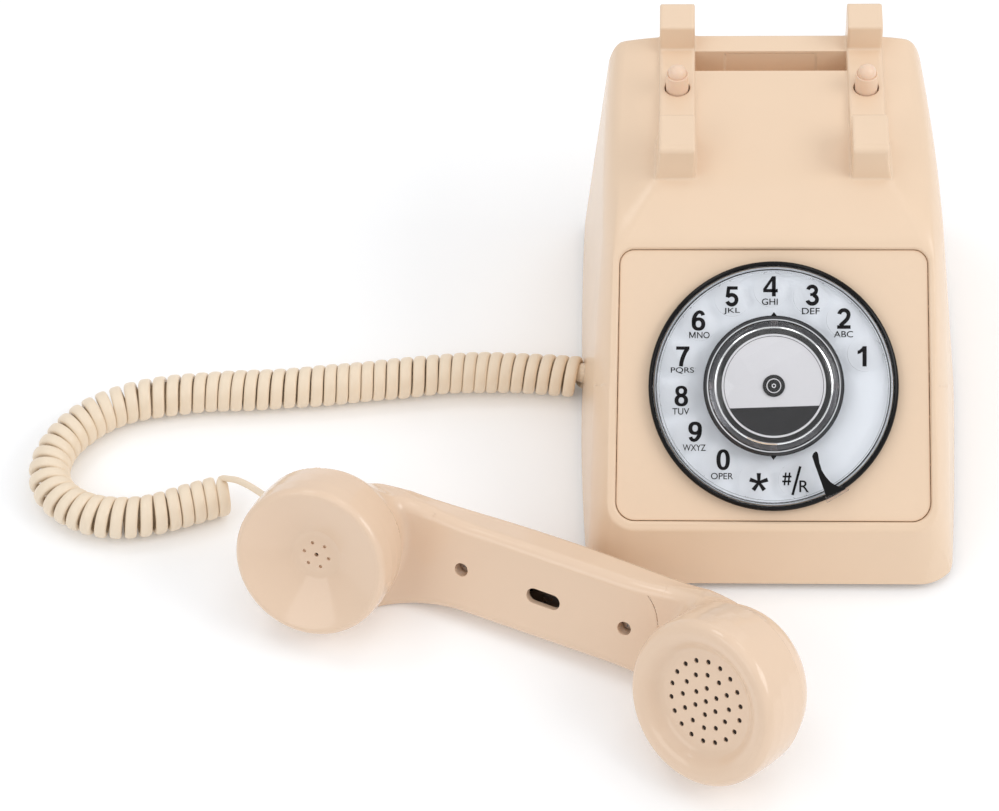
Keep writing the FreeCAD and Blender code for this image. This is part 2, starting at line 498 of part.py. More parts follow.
# ---------------------------------------------------------------- cord
def tube(route, d):
    pts = [V(*p) for p in route]
    ed = []
    cur = pts[0]
    rads = []
    for i in range(1, len(pts) - 1):
        a, p, b = pts[i - 1], pts[i], pts[i + 1]
        u, v = a - p, b - p
        lu, lv = u.Length, v.Length
        u.normalize()
        v.normalize()
        turn = math.pi - u.getAngle(v)
        R = 0.45 * min(lu, lv) / math.tan(turn / 2)
        rads.append(round(R, 1))
        s = p + u * (0.45 * min(lu, lv))
        e = p + v * (0.45 * min(lu, lv))
        bi = u + v
        bi.normalize()
        h = R / math.cos(turn / 2)
        m = p + bi * (h - R)
        if (s - cur).Length > 1e-4:
            ed.append(Part.LineSegment(cur, s).toShape())
        ed.append(Part.Arc(s, m, e).toShape())
        cur = e
    ed.append(Part.LineSegment(cur, pts[-1]).toShape())
    w = Part.Wire(ed)
    t = pts[1] - pts[0]
    prof = Part.Wire([Part.Circle(pts[0], t, d / 2).toShape()])
    s = w.makePipeShell([prof], True, True)
    if s.ShapeType != "Solid":
        s = s.Solids[0]
    print("cord tube: diameter", d, "length %.1f" % w.Length, "volume / (section x length) %.4f" % (abs(s.Volume) / (math.pi * d * d / 4 * w.Length)), "radii", rads)
    return s


def beyond(shape, end, before):
    """the part of shape that lies clear of the coil's end face"""
    n = V(*end) - V(*before)
    n.normalize()
    side = V(0, 0, 1).cross(n)
    return shape.cut(put(box(-30, 0.3, -30, 30, -30, 30), place(n, side, V(0, 0, 1), V(*end))))


save("coiled_cord", tube(COIL_ROUTE, COIL_D))
save("cord_tail", beyond(tube(TAIL_ROUTE, CORD_D), COIL_ROUTE[-1], COIL_ROUTE[-2]))
# gland of the cord in the left wall, a short length of cord runs to the coil
gl = cylx(3.8, -72.4, -66.0, 97.2, 10.4).fuse(cylx(5.2, -66.0, -64.6, 97.2, 10.4))
gl = gl.fuse(Part.makeCone(3.8, 3.0, 2.0, V(-72.3, 97.2, 10.4), V(-1, 0, 0)))
gl = gl.cut(box(-66.2, -64.0, 90.0, 105.0, 0.0, 6.35))
save("base_cord_gland", gl.removeSplitter())
g0 = V(-74.3, 97.2, 10.4)
g1 = V(*COIL_ROUTE[0])
dv = g1 - g0
save("cord_lead", beyond(Part.makeCylinder(CORD_D / 2, dv.Length, g0, dv).cut(Part.makeBox(20, 40, 40, V(-74.3, 77, -10))), COIL_ROUTE[0], COIL_ROUTE[1]))

# ---------------------------------------------------------------- handset
HS_X.normalize()
HS_Z = HS_Z - HS_X * HS_Z.dot(HS_X)
HS_Z.normalize()
HS_Y = HS_Z.cross(HS_X)
HS_O = HS_M + HS_X * (HS_SPAN / 2)
HSP = place(HS_X, HS_Y, HS_Z, HS_O)


def cup_frame(end):
    a = math.radians(HS_TILT_M if end < 0 else -HS_TILT_E)
    n = V(math.sin(a), 0, math.cos(a))
    return place(V(math.cos(a), 0, -math.sin(a)), V(0, 1, 0), n, V(end * HS_SPAN / 2, 0, 0))


CM, CE = cup_frame(-1), cup_frame(1)


def arc_profile(pts, mids):
    ed = []
    for (a, b), m in zip(zip(pts[:-1], pts[1:]), mids):
        A, B = V(a[0], 0, a[1]), V(b[0], 0, b[1])
        ed.append(Part.makeLine(A, B) if m is None else Part.Arc(A, V(m[0], 0, m[1]), B).toShape())
    return Part.Wire(ed)


def cup(R, depth):
    """body of a cup turned about its axis: a rim, a nearly straight wall and a rounded back"""
    pts = [(0, 0), (R - 1.4, 0), (R, -1.4), (R + 0.8, -8.0), (R - 0.6, -depth + 13.0), (R - 11.0, -depth + 0.8), (0, -depth), (0, 0)]
    mids = [None, (R - 0.41, -0.41), None, (R + 0.55, -(depth - 5.0) / 2), (R - 3.2, -depth + 4.2), ((R - 11) / 2, -depth + 0.2), None]
    f = Part.Face(arc_profile(pts, mids))
    return f.revolve(V(0, 0, 0), V(0, 0, 1), 360)


cupm = put(cup(RIM_M, 33.0), CM)
cupe = put(cup(RIM_E, 34.0), CE)
# handle: side outline extruded across
f = lambda p: V(p[0], -HS_HALF, p[1])
E = [Part.makeLine(f((-46, HS_IN)), f((46, HS_IN))),
     Part.Arc(f((46, HS_IN)), f((58, -31.0)), f((68, -20))).toShape(),
     Part.makeLine(f((68, -20)), f((88, -26))),
     Part.Arc(f((88, -26)), f((77, -42.0)), f((58, -52.0))).toShape(),
     Part.Arc(f((58, -52.0)), f((0, HS_BACK)), f((-58, -52.0))).toShape(),
     Part.Arc(f((-58, -52.0)), f((-77, -42.0)), f((-88, -26))).toShape(),
     Part.makeLine(f((-88, -26)), f((-66, -20))),
     Part.Arc(f((-66, -20)), f((-57, -31.0)), f((-46, HS_IN))).toShape()]
handle = Part.Face(Part.Wire(E)).extrude(V(0, 2 * HS_HALF, 0))
back_edges = [e for e in handle.Edges if abs(abs(e.BoundBox.Center.y) - HS_HALF) < 1e-6 and e.BoundBox.ZMax < -24 and e.BoundBox.ZMin < -36]
for rr in (11.0, 10.5, 10.0, 8.0, 6.0):
    try:
        h2 = handle.makeFillet(rr, back_edges)
        if h2.isValid() and h2.Volume < handle.Volume:
            handle = h2
            print("handle back fillet", rr)
            break
    except Exception as ex:
        print("fillet", rr, ex)
hs = handle.fuse(cupm).fuse(cupe).removeSplitter()
# cavities
hs = hs.cut(put(cyl(25.6, -25.0, 1.0), CM)).cut(put(cyl(26.6, -26.0, 1.0), CE))
hs = hs.cut(rect(93.4, 30.8, 6.0, HS_IN - 3.1, HS_IN + 4.0))
hs = hs.cut(rect(88.0, 25.0, 4.0, -50.5, HS_IN - 3.0).fuse(rect(70.0, 18.0, 4.0, -52.4, -50.0)))
hs = hs.cut(Part.makeCylinder(3.0, 40.0, V(-74, 0, -44.0), V(1, 0, 0))).cut(Part.makeCylinder(3.0, 40.0, V(34, 0, -44.0), V(1, 0, 0)))
for x in HS_SCREW:
    hs = hs.fuse(cyl(3.6, -53.5, -44.1, x, 0)).cut(cyl(1.3, -52.4, -44.0, x, 0))
hs = hs.removeSplitter()
# gland hole in the mouthpiece cup
TE = V(*TAIL_ROUTE[-1])
TD = TE - V(*TAIL_ROUTE[-2])
TD.normalize()
ghole = Part.makeCylinder(2.6, 13.0, TE - TD * 1.0, TD)
hs_w = put(hs, HSP)
hs_w = hs_w.cut(ghole)
save("handset_shell", hs_w)
gl2 = Part.makeCylinder(2.5, 8.0, TE, TD)
save("handset_cord_gland", gl2)

cov = rect(92.6, 30.0, 5.6, HS_IN - 3.0, HS_IN)
for x in HS_SCREW:
    cov = cov.fuse(cyl(4.4, -44.0, HS_IN - 1.0, x, 0)).cut(cyl(2.6, -42.0, -30.0, x, 0)).cut(cyl(1.5, -45.0, -30.0, x, 0))
cov = cov.cut(rect(13.2, 5.8, 2.85, -45, -30, HS_SLOT, 0.0))
save("handset_cover", put(cov.removeSplitter(), HSP))
save("handset_screws", put(Part.makeCompound([cyl(2.4, -42.0, -40.4, x, 0).fuse(cyl(1.25, -51.5, -41.9, x, 0)) for x in HS_SCREW]), HSP))
save("handset_weight", put(rect(40.0, 16.0, 2.0, -52.2, -46.0), HSP))

# mouthpiece: conical dish with seven holes
mp = revolve([(0, -8.3), (8.5, -8.3), (22.5, -0.9), (25.2, -0.5), (25.2, -3.4), (23.0, -3.4), (8.5, -10.3), (0, -10.3)])
mp = mp.cut(cyl(0.7, -12, -6))
for i in range(6):
    a = math.radians(60 * i + 57.9)
    mp = mp.cut(cyl(0.7, -12, -6, 4.78 * math.cos(a), 4.78 * math.sin(a)))
save("mouthpiece_cap", put(put(mp, CM), HSP))
# earpiece: rounded rim and a shallow bowl with thirty-seven holes
ep = revolve([(0, -3.0), (12.0, -2.7), (19.0, -1.7), (23.4, -0.6), (26.2, -0.4), (26.2, -3.6), (23.0, -3.6), (19.0, -4.0), (12.0, -4.9), (0, -5.2)])
ep = ep.cut(cyl(0.8, -7, 1))
for n, rr in ((6, 4.98), (12, 9.96), (18, 14.93)):
    for i in range(n):
        a = math.radians(360.0 * i / n + 39.0 - 60.0)
        ep = ep.cut(cyl(0.8, -7, 1, rr * math.cos(a), rr * math.sin(a)))
save("earpiece_cap", put(put(ep, CE), HSP))
save("microphone", put(put(cyl(6.0, -16.5, -10.4), CM), HSP))
rc = cyl(22.0, -10.0, -5.4).fuse(cyl(14.0, -17.0, -9.9))
save("receiver", put(put(rc.removeSplitter(), CE), HSP))
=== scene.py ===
import bpy
import math
import numpy as np
from mathutils import Matrix, Vector


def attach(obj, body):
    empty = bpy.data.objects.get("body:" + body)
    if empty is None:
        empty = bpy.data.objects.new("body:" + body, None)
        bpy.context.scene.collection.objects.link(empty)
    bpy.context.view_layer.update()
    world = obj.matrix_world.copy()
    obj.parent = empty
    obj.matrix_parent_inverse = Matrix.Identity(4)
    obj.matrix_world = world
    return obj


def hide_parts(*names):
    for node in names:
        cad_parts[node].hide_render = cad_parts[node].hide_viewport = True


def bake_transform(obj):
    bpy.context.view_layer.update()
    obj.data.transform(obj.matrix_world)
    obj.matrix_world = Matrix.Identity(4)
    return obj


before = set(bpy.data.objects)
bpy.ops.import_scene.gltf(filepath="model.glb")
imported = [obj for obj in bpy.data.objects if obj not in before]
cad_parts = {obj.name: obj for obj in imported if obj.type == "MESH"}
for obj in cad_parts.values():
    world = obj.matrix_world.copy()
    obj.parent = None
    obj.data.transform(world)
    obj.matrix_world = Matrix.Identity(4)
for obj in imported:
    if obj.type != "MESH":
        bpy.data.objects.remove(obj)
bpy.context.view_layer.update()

# Everything below is written in millimetres with Y = 0 at the base's front edge,
# as the object was measured, and moved back by YS when it becomes a mesh.
YS = -94.0
MM = 0.001

# ------------------------------------------------------------------ camera
F_PX = 3500.0
CAM_C = np.array([-37.229, -792.465, 1034.718])
CAM_A, CAM_E, CAM_R = -0.075608, 0.863611, -0.054669
_F = np.array([math.sin(CAM_A) * math.cos(CAM_E), math.cos(CAM_A) * math.cos(CAM_E), -math.sin(CAM_E)])
_R = np.array([math.cos(CAM_A), -math.sin(CAM_A), 0.0])
_U = np.cross(_R, _F)
_R2 = math.cos(CAM_R) * _R + math.sin(CAM_R) * _U
_U2 = -math.sin(CAM_R) * _R + math.cos(CAM_R) * _U
cam_data = bpy.data.cameras.new("camera")
cam_data.sensor_width = 36.0
cam_data.sensor_fit = "HORIZONTAL"
cam_data.lens = F_PX / 999.0 * 36.0
cam_data.clip_start = 0.05
cam_data.clip_end = 20.0
cam = bpy.data.objects.new("camera", cam_data)
bpy.context.scene.collection.objects.link(cam)
_pos = (CAM_C + np.array([0, YS, 0])) * MM
cam.matrix_world = Matrix(((_R2[0], _U2[0], -_F[0], _pos[0]), (_R2[1], _U2[1], -_F[1], _pos[1]), (_R2[2], _U2[2], -_F[2], _pos[2]), (0, 0, 0, 1)))
bpy.context.scene.camera = cam


# ------------------------------------------------------------------ small helpers
def new_mesh(name, verts, faces, body, smooth=True, normals=None, mat=None):
    """verts in mm in the measured frame"""
    v = np.array(verts, float).reshape(-1, 3).copy()
    v[:, 1] += YS
    v *= MM
    me = bpy.data.meshes.new(name)
    me.from_pydata(v.tolist(), [], [tuple(int(i) for i in f) for f in faces])
    me.update()
    if smooth:
        me.polygons.foreach_set("use_smooth", [True] * len(me.polygons))
    if normals is not None:
        me.normals_split_custom_set_from_vertices(np.asarray(normals, float).tolist())
    ob = bpy.data.objects.new(name, me)
    bpy.context.scene.collection.objects.link(ob)
    if mat:
        me.materials.append(mat)
    if body:
        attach(ob, body)
    return ob


def basis(x, y, z, o):
    m = np.eye(4)
    m[:3, 0], m[:3, 1], m[:3, 2], m[:3, 3] = x, y, z, o
    return m


def apply(m, p):
    p = np.asarray(p, float).reshape(-1, 3)
    return p @ m[:3, :3].T + m[:3, 3]


def lathe(name, prof, m, body, seg=128, mat=None, auto=30.0, closed=False):
    """outline (r, z) turned about the local z axis of m; points with r = 0 become poles"""
    prof = [tuple(map(float, p)) for p in prof]
    verts, rows = [], []
    for r, z in prof:
        if r < 1e-6:
            rows.append([len(verts)] * seg)
            verts.append((0, 0, z))
        else:
            rows.append(list(range(len(verts), len(verts) + seg)))
            for k in range(seg):
                a = 2 * math.pi * k / seg
                verts.append((r * math.cos(a), r * math.sin(a), z))
    faces = []
    n = len(rows)
    for i in range(n if closed else n - 1):
        a, b = rows[i], rows[(i + 1) % n]
        for k in range(seg):
            q = [a[k], a[(k + 1) % seg], b[(k + 1) % seg], b[k]]
            q2 = []
            for t in q:
                if t not in q2:
                    q2.append(t)
            if len(q2) >= 3:
                faces.append(q2)
    ob = new_mesh(name, apply(m, verts), faces, body, mat=mat)
    sharp(ob, auto)
    fix_normals(ob)
    return ob


def fix_normals(ob):
    import bmesh
    bm = bmesh.new()
    bm.from_mesh(ob.data)
    bmesh.ops.recalc_face_normals(bm, faces=bm.faces)
    bm.to_mesh(ob.data)
    bm.free()


def sharp(ob, deg=30.0):
    me = ob.data
    me.update()
    import bmesh
    bm = bmesh.new()
    bm.from_mesh(me)
    lim = math.radians(deg)
    for e in bm.edges:
        if len(e.link_faces) == 2 and e.calc_face_angle(0) > lim:
            e.smooth = False
    bm.to_mesh(me)
    bm.free()


def arc_pts(cx, cy, r, a0, a1, n):
    return [(cx + r * math.cos(math.radians(a0 + (a1 - a0) * i / n)), cy + r * math.sin(math.radians(a0 + (a1 - a0) * i / n))) for i in range(n + 1)]


# ------------------------------------------------------------------ materials
def principled(name, color, rough=0.35, **kw):
    m = bpy.data.materials.new(name)
    m.use_nodes = True
    nt = m.node_tree
    b = nt.nodes["Principled BSDF"]
    b.inputs["Base Color"].default_value = (*color, 1.0)
    b.inputs["Roughness"].default_value = rough
    for k, v in kw.items():
        b.inputs[k.replace("_", " ")].default_value = v
    return m, nt, b


def plastic(name, color, rough=0.3, vary=0.025, scale=60.0, bump=0.02, bump_scale=900.0, coat=0.0, spec=0.5, rough_vary=0.05, soft=0.0):
    """moulded plastic: slow colour drift, fine mould texture, slight change of gloss"""
    m, nt, b = principled(name, color, rough)
    b.inputs["Specular IOR Level"].default_value = spec
    b.inputs["Coat Weight"].default_value = coat
    b.inputs["Coat Roughness"].default_value = 0.08
    if soft:
        b.inputs["Subsurface Weight"].default_value = soft
        b.inputs["Subsurface Radius"].default_value = (1.0, 0.55, 0.3)
        b.inputs["Subsurface Scale"].default_value = 0.0015
    tc = nt.nodes.new("ShaderNodeTexCoord")
    n1 = nt.nodes.new("ShaderNodeTexNoise")
    n1.inputs["Scale"].default_value = scale
    n1.inputs["Detail"].default_value = 3.0
    nt.links.new(tc.outputs["Object"], n1.inputs["Vector"])
    ramp = nt.nodes.new("ShaderNodeValToRGB")
    lo = [max(0.0, c * (1 - vary)) for c in color]
    hi = [min(1.0, c * (1 + vary)) for c in color]
    ramp.color_ramp.elements[0].position = 0.05
    ramp.color_ramp.elements[1].position = 0.95
    ramp.color_ramp.elements[0].color = (*lo, 1)
    ramp.color_ramp.elements[1].color = (*hi, 1)
    nt.links.new(n1.outputs["Fac"], ramp.inputs["Fac"])
    nt.links.new(ramp.outputs["Color"], b.inputs["Base Color"])
    n2 = nt.nodes.new("ShaderNodeTexNoise")
    n2.inputs["Scale"].default_value = 35.0
    n2.inputs["Detail"].default_value = 2.0
    nt.links.new(tc.outputs["Object"], n2.inputs["Vector"])
    mr = nt.nodes.new("ShaderNodeMapRange")
    mr.inputs["To Min"].default_value = max(0.02, rough - rough_vary)
    mr.inputs["To Max"].default_value = rough + rough_vary
    nt.links.new(n2.outputs["Fac"], mr.inputs["Value"])
    nt.links.new(mr.outputs["Result"], b.inputs["Roughness"])
    if bump:
        n3 = nt.nodes.new("ShaderNodeTexNoise")
        n3.inputs["Scale"].default_value = bump_scale
        n3.inputs["Detail"].default_value = 2.0
        nt.links.new(tc.outputs["Object"], n3.inputs["Vector"])
        bp = nt.nodes.new("ShaderNodeBump")
        bp.inputs["Strength"].default_value = bump
        bp.inputs["Distance"].default_value = 0.0004
        nt.links.new(n3.outputs["Fac"], bp.inputs["Height"])
        nt.links.new(bp.outputs["Normal"], b.inputs["Normal"])
    return m


def metal(name, color, rough=0.3, scale=400.0):
    m, nt, b = principled(name, color, rough, Metallic=1.0)
    tc = nt.nodes.new("ShaderNodeTexCoord")
    n1 = nt.nodes.new("ShaderNodeTexNoise")
    n1.inputs["Scale"].default_value = scale
    n1.inputs["Detail"].default_value = 4.0
    nt.links.new(tc.outputs["Object"], n1.inputs["Vector"])
    mr = nt.nodes.new("ShaderNodeMapRange")
    mr.inputs["To Min"].default_value = max(0.05, rough - 0.12)
    mr.inputs["To Max"].default_value = rough + 0.12
    nt.links.new(n1.outputs["Fac"], mr.inputs["Value"])
    nt.links.new(mr.outputs["Result"], b.inputs["Roughness"])
    return m


BEIGE = (0.82, 0.62, 0.445)
M_HOUSE = plastic("housing_plastic", BEIGE, rough=0.26, soft=0.0, vary=0.015, bump=0.0, rough_vary=0.0)
M_HAND = plastic("handset_plastic", (0.80, 0.60, 0.44), rough=0.13, vary=0.012, rough_vary=0.02, bump=0.006)
M_CORD = plastic("cord_jacket", (0.86, 0.72, 0.55), rough=0.33, vary=0.03, scale=220.0)
M_BLACK = plastic("black_plastic", (0.005, 0.0045, 0.0045), rough=0.13, vary=0.2, spec=0.2, rough_vary=0.03, bump=0.004)
M_WHITE = plastic("plate_white", (0.66, 0.685, 0.725), rough=0.4, vary=0.015)

M_FACE = plastic("faceplate_plastic", (0.83, 0.63, 0.455), rough=0.5, vary=0.012, scale=300.0, bump=0.08, bump_scale=2600.0)
M_PLUNGER = plastic("plunger_plastic", (0.84, 0.62, 0.46), rough=0.3, vary=0.012, soft=0.15)
M_HUB = plastic("hub_smoked", (0.022, 0.023, 0.026), rough=0.12, vary=0.2, rough_vary=0.03, bump=0.004)
M_CARD = plastic("card_paper", (0.66, 0.65, 0.67), rough=0.6, vary=0.01, scale=800.0, bump=0.03)
# dark ink for the print; also used for the painted shade rings at the finger wheel's edge
M_PRINT_AND_SHADE = plastic("printing_ink_and_painted_shade", (0.012, 0.011, 0.012), rough=0.5, vary=0.15, scale=700.0, bump=0.0, spec=0.1)
M_GREY = plastic("grey_plastic", (0.33, 0.33, 0.33), rough=0.4, vary=0.05)
M_RUBBER = plastic("rubber", (0.03, 0.03, 0.032), rough=0.75, vary=0.15, bump=0.2)
M_BOARD = plastic("board_green", (0.03, 0.16, 0.06), rough=0.35, vary=0.15, scale=300.0)
M_TRANS = plastic("transducer_dark", (0.03, 0.021, 0.016), rough=0.6, vary=0.1, spec=0.2)
M_STEEL = metal("steel", (0.62, 0.60, 0.58), 0.3)
M_BRASS = metal("brass", (0.72, 0.53, 0.26), 0.3)


def clear(name, color=(0.97, 0.985, 1.0), rough=0.03, ior=1.46, wave=0.0):
    m, nt, b = principled(name, color, rough)
    b.inputs["Transmission Weight"].default_value = 1.0
    b.inputs["IOR"].default_value = ior
    tc = nt.nodes.new("ShaderNodeTexCoord")
    n1 = nt.nodes.new("ShaderNodeTexNoise")
    n1.inputs["Scale"].default_value = 120.0
    nt.links.new(tc.outputs["Object"], n1.inputs["Vector"])
    mr = nt.nodes.new("ShaderNodeMapRange")
    mr.inputs["To Min"].default_value = max(0.0, rough - 0.015)
    mr.inputs["To Max"].default_value = rough + 0.02
    nt.links.new(n1.outputs["Fac"], mr.inputs["Value"])
    nt.links.new(mr.outputs["Result"], b.inputs["Roughness"])
    # lamps reach what lies behind it
    lp = nt.nodes.new("ShaderNodeLightPath")
    tr = nt.nodes.new("ShaderNodeBsdfTransparent")
    mx = nt.nodes.new("ShaderNodeMixShader")
    nt.links.new(lp.outputs["Is Shadow Ray"], mx.inputs["Fac"])
    nt.links.new(b.outputs["BSDF"], mx.inputs[1])
    nt.links.new(tr.outputs["BSDF"], mx.inputs[2])
    nt.links.new(mx.outputs["Shader"], nt.nodes["Material Output"].inputs["Surface"])
    return m


M_CHROME = metal("bright_ring", (0.06, 0.06, 0.065), 0.2)
M_LINE = plastic("pale_edge", (0.62, 0.63, 0.65), rough=0.3, vary=0.05)
M_CLEAR = clear("clear_plastic", (0.99, 0.995, 1.0), 0.02, 1.42)
M_WHEEL = clear("wheel_plastic", (0.992, 0.996, 1.0), 0.02, 1.07)
M_RIM = clear("wheel_rim_plastic", (0.985, 0.99, 0.995), 0.02, 1.35)
M_CLEARISH = clear("jack_plastic", (0.75, 0.72, 0.68), 0.25)
M_TAB = clear("clear_tab", (0.95, 0.9, 0.9), 0.12)

# ------------------------------------------------------------------ light and floor
sc = bpy.context.scene
sc.view_settings.view_transform = "Standard"
sc.view_settings.look = "None"
sc.view_settings.exposure = 0.0
sc.view_settings.gamma = 1.0
world = bpy.data.worlds.new("studio")
world.use_nodes = True
bg = world.node_tree.nodes["Background"]
bg.inputs["Color"].default_value = (0.97, 0.98, 1.0, 1.0)
bg.inputs["Strength"].default_value = 0.70
sc.world = world


def area(name, loc, at, size, power, color=(1, 1, 1), size_y=None):
    d = bpy.data.lights.new(name, "AREA")
    d.shape = "RECTANGLE"
    d.size = size
    d.size_y = size_y or size
    d.energy = power
    d.color = color
    o = bpy.data.objects.new(name, d)
    sc.collection.objects.link(o)
    o.location = loc
    dirv = Vector(at) - Vector(loc)
    o.rotation_euler = dirv.to_track_quat("-Z", "Y").to_euler()
    return o


def box_light(name, az, el, dist, w, h, power, color=(1, 1, 1), at=(-0.06, -0.03, 0.05)):
    a_, e_ = math.radians(az), math.radians(el)
    loc = [at[0] + dist * math.cos(e_) * math.sin(a_), at[1] + dist * math.cos(e_) * math.cos(a_), at[2] + dist * math.sin(e_)]
    return area(name, loc, at, w, power, color, h)


box_light("box_left", -129, 41, 1.55, 1.1, 0.7, 3.1)
box_light("box_right", 104, 40, 1.6, 0.95, 0.7, 6.6)
box_light("box_top", 150, 78, 1.6, 1.3, 0.9, 1.6)
box_light("box_back", 10, 40, 1.7, 1.4, 0.6, 1.0)
box_light("box_high_left", -55, 62, 1.5, 0.55, 0.35, 1.5)
box_light("box_high_right", 44, 64, 1.5, 0.35, 0.35, 0.7)

floor_me = bpy.data.meshes.new("floor")
S = 6.0
floor_me.from_pydata([(-S, -S, 0), (S, -S, 0), (S, S, 0), (-S, S, 0)], [], [(0, 1, 2, 3)])
floor = bpy.data.objects.new("floor", floor_me)
sc.collection.objects.link(floor)
m_floor, _nt, _b = principled("floor_white", (0.97, 0.975, 0.98), 0.6)
_b.inputs["Specular IOR Level"].default_value = 0.2
_b.inputs["Emission Color"].default_value = (1.0, 1.0, 1.0, 1.0)
_b.inputs["Emission Strength"].default_value = 0.065
floor_me.materials.append(m_floor)

# ------------------------------------------------------------------ cord
COIL_ROUTE = [(-80.0, 97.5, 8.4), (-110.0, 100.5, 8.4), (-149.0, 95.0, 8.4), (-189.0, 90.0, 8.4),
              (-225.0, 88.5, 8.4), (-255.0, 81.5, 8.4), (-273.5, 62.0, 8.4), (-275.0, 40.0, 8.4),
              (-258.0, 26.5, 8.4), (-237.0, 25.5, 8.4), (-218.0, 33.0, 8.4), (-204.5, 38.0, 8.4)]
TAIL_ROUTE = [(-204.5, 38.0, 13.2), (-197.0, 40.7, 14.1), (-190.2, 38.7, 17.8), (-186.4, 32.2, 22.5), (-185.2, 23.5, 27.3), (-185.2, 16.6, 30.6)]


def nurbs_line(pts, name, res=24):
    cu = bpy.data.curves.new(name, "CURVE")
    cu.dimensions = "3D"
    sp = cu.splines.new("NURBS")
    sp.points.add(len(pts) - 1)
    for i, p in enumerate(pts):
        sp.points[i].co = (p[0] * MM, (p[1] + YS) * MM, p[2] * MM, 1.0)
    sp.order_u = 3
    sp.use_endpoint_u = True
    sp.resolution_u = res
    ob = bpy.data.objects.new(name, cu)
    sc.collection.objects.link(ob)
    bpy.context.view_layer.update()
    me = bpy.data.meshes.new_from_object(ob)
    p = np.array([v.co[:] for v in me.vertices])
    bpy.data.objects.remove(ob)
    bpy.data.curves.remove(cu)
    bpy.data.meshes.remove(me)
    return p / MM - np.array([0, YS, 0])


def resample(p, step):
    s = np.concatenate([[0], np.cumsum(np.linalg.norm(np.diff(p, axis=0), axis=1))])
    n = max(2, int(round(s[-1] / step)) + 1)
    t = np.linspace(0, s[-1], n)
    return np.stack([np.interp(t, s, p[:, k]) for k in range(3)], 1), t


def sweep(name, path, width, thick, up, body, mat, nsec=16, power=0.72):
    """flat cord with rounded edges along path; up gives the direction of its thickness"""
    path = np.asarray(path, float)
    T = np.gradient(path, axis=0)
    T /= np.linalg.norm(T, axis=1)[:, None]
    N = up - (up * T).sum(1)[:, None] * T
    N /= np.linalg.norm(N, axis=1)[:, None]
    B = np.cross(T, N)
    width = np.broadcast_to(width, (len(path),))
    thick = np.broadcast_to(thick, (len(path),))
    sec = []
    for k in range(nsec):
        a = 2 * math.pi * (k + 0.5) / nsec
        ca, sa = math.cos(a), math.sin(a)
        sec.append((0.5 * math.copysign(abs(ca) ** power, ca), 0.5 * math.copysign(abs(sa) ** power, sa)))
    sec = np.array(sec)
    n = len(path)
    V = (path[:, None, :] + (sec[None, :, 0] * width[:, None])[:, :, None] * B[:, None, :]
         + (sec[None, :, 1] * thick[:, None])[:, :, None] * N[:, None, :])
    V = V.reshape(-1, 3)
    faces = []
    for i in range(n - 1):
        for k in range(nsec):
            k2 = (k + 1) % nsec
            faces.append((i * nsec + k, i * nsec + k2, (i + 1) * nsec + k2, (i + 1) * nsec + k))
    faces.append(tuple(range(nsec))[::-1])
    faces.append(tuple((n - 1) * nsec + k for k in range(nsec)))
    ob = new_mesh(name, V, faces, body, mat=mat)
    fix_normals(ob)
    return ob


def build_cord():
    line = nurbs_line(COIL_ROUTE, "coil_route")
    line = np.concatenate([[(-70.6, 96.9, 8.4), (-74.0, 97.05, 8.4), (-77.5, 97.25, 8.4)], line])
    line, s = resample(line, 0.5)
    L = s[-1]
    T = np.gradient(line, axis=0)
    T /= np.linalg.norm(T, axis=1)[:, None]
    up = np.tile(np.array([0, 0, 1.0]), (len(line), 1))
    side = np.cross(T, up)
    side /= np.linalg.norm(side, axis=1)[:, None]
    W, TH = 4.6, 3.1
    RO = 8.05
    r = RO - TH / 2
    turns = 59.5
    per = 28
    n = int(turns * per)
    u = np.linspace(0, 1, n)
    # the turns open a little where the coil bends
    w = 1.0 + 0.10 * np.exp(-((u - 0.62) / 0.16) ** 2) + 0.04 * np.sin(u * 37.0)
    cs = np.cumsum(w)
    cs = (cs - cs[0]) / (cs[-1] - cs[0])
    sp = 2.3 + cs * (L - 4.6)
    P = np.stack([np.interp(sp, s, line[:, k]) for k in range(3)], 1)
    S_ = np.stack([np.interp(sp, s, side[:, k]) for k in range(3)], 1)
    U_ = np.stack([np.interp(sp, s, up[:, k]) for k in range(3)], 1)
    ang = math.pi * 1.5 + 2 * math.pi * turns * u
    rr = r + 0.10 * np.sin(u * 61.0) - 0.10
    rad = S_ * np.cos(ang)[:, None] + U_ * np.sin(ang)[:, None]
    helix = P + rad * rr[:, None]
    return helix, rad, W, TH, L


helix, helix_up, CW, CT, coil_len = build_cord()
LEAD = nurbs_line([(-70.4, 97.2, 10.4), (-70.9, 97.1, 9.4), (-71.0, 96.6, 6.0), (-71.4, 97.2, 3.2), tuple(float(c) for c in helix[3])], "lead_route")[:-1]
TAIL = nurbs_line([tuple(float(c) for c in helix[-1]), tuple(float(c) for c in helix[-1] + (helix[-1] - helix[-2]) * 2.2), (-203.6, 37.0, 18.4), (-200.4, 34.9, 20.4), (-196.2, 31.6, 21.8), (-191.0, 26.2, 24.2),
                   (-187.2, 20.4, 27.8), (-185.5, 17.2, 30.2), (-185.2, 15.6, 31.2)], "tail_route")[1:]
wire = np.concatenate([LEAD, helix[4:], TAIL])
upv = np.concatenate([np.tile([-0.3, 0, 1.0], (len(LEAD), 1)), helix_up[4:], np.tile([0.35, 0.25, 0.9], (len(TAIL), 1))])
wd = np.concatenate([np.linspace(3.0, CW, len(LEAD)), np.full(len(helix) - 4, CW), np.interp(np.arange(len(TAIL)), [0, 26], [CW * 0.9, 2.5])])
th = np.concatenate([np.full(len(LEAD), 2.6), np.full(len(helix) - 4, CT), np.interp(np.arange(len(TAIL)), [0, 26], [CT, 2.3])])
for _ in range(6):
    upv[1:-1] = (upv[:-2] + 2 * upv[1:-1] + upv[2:]) / 4
coil = sweep("curly_cord", wire, wd, th, upv, None, M_CORD)
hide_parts("coiled_cord", "cord_tail", "cord_lead")
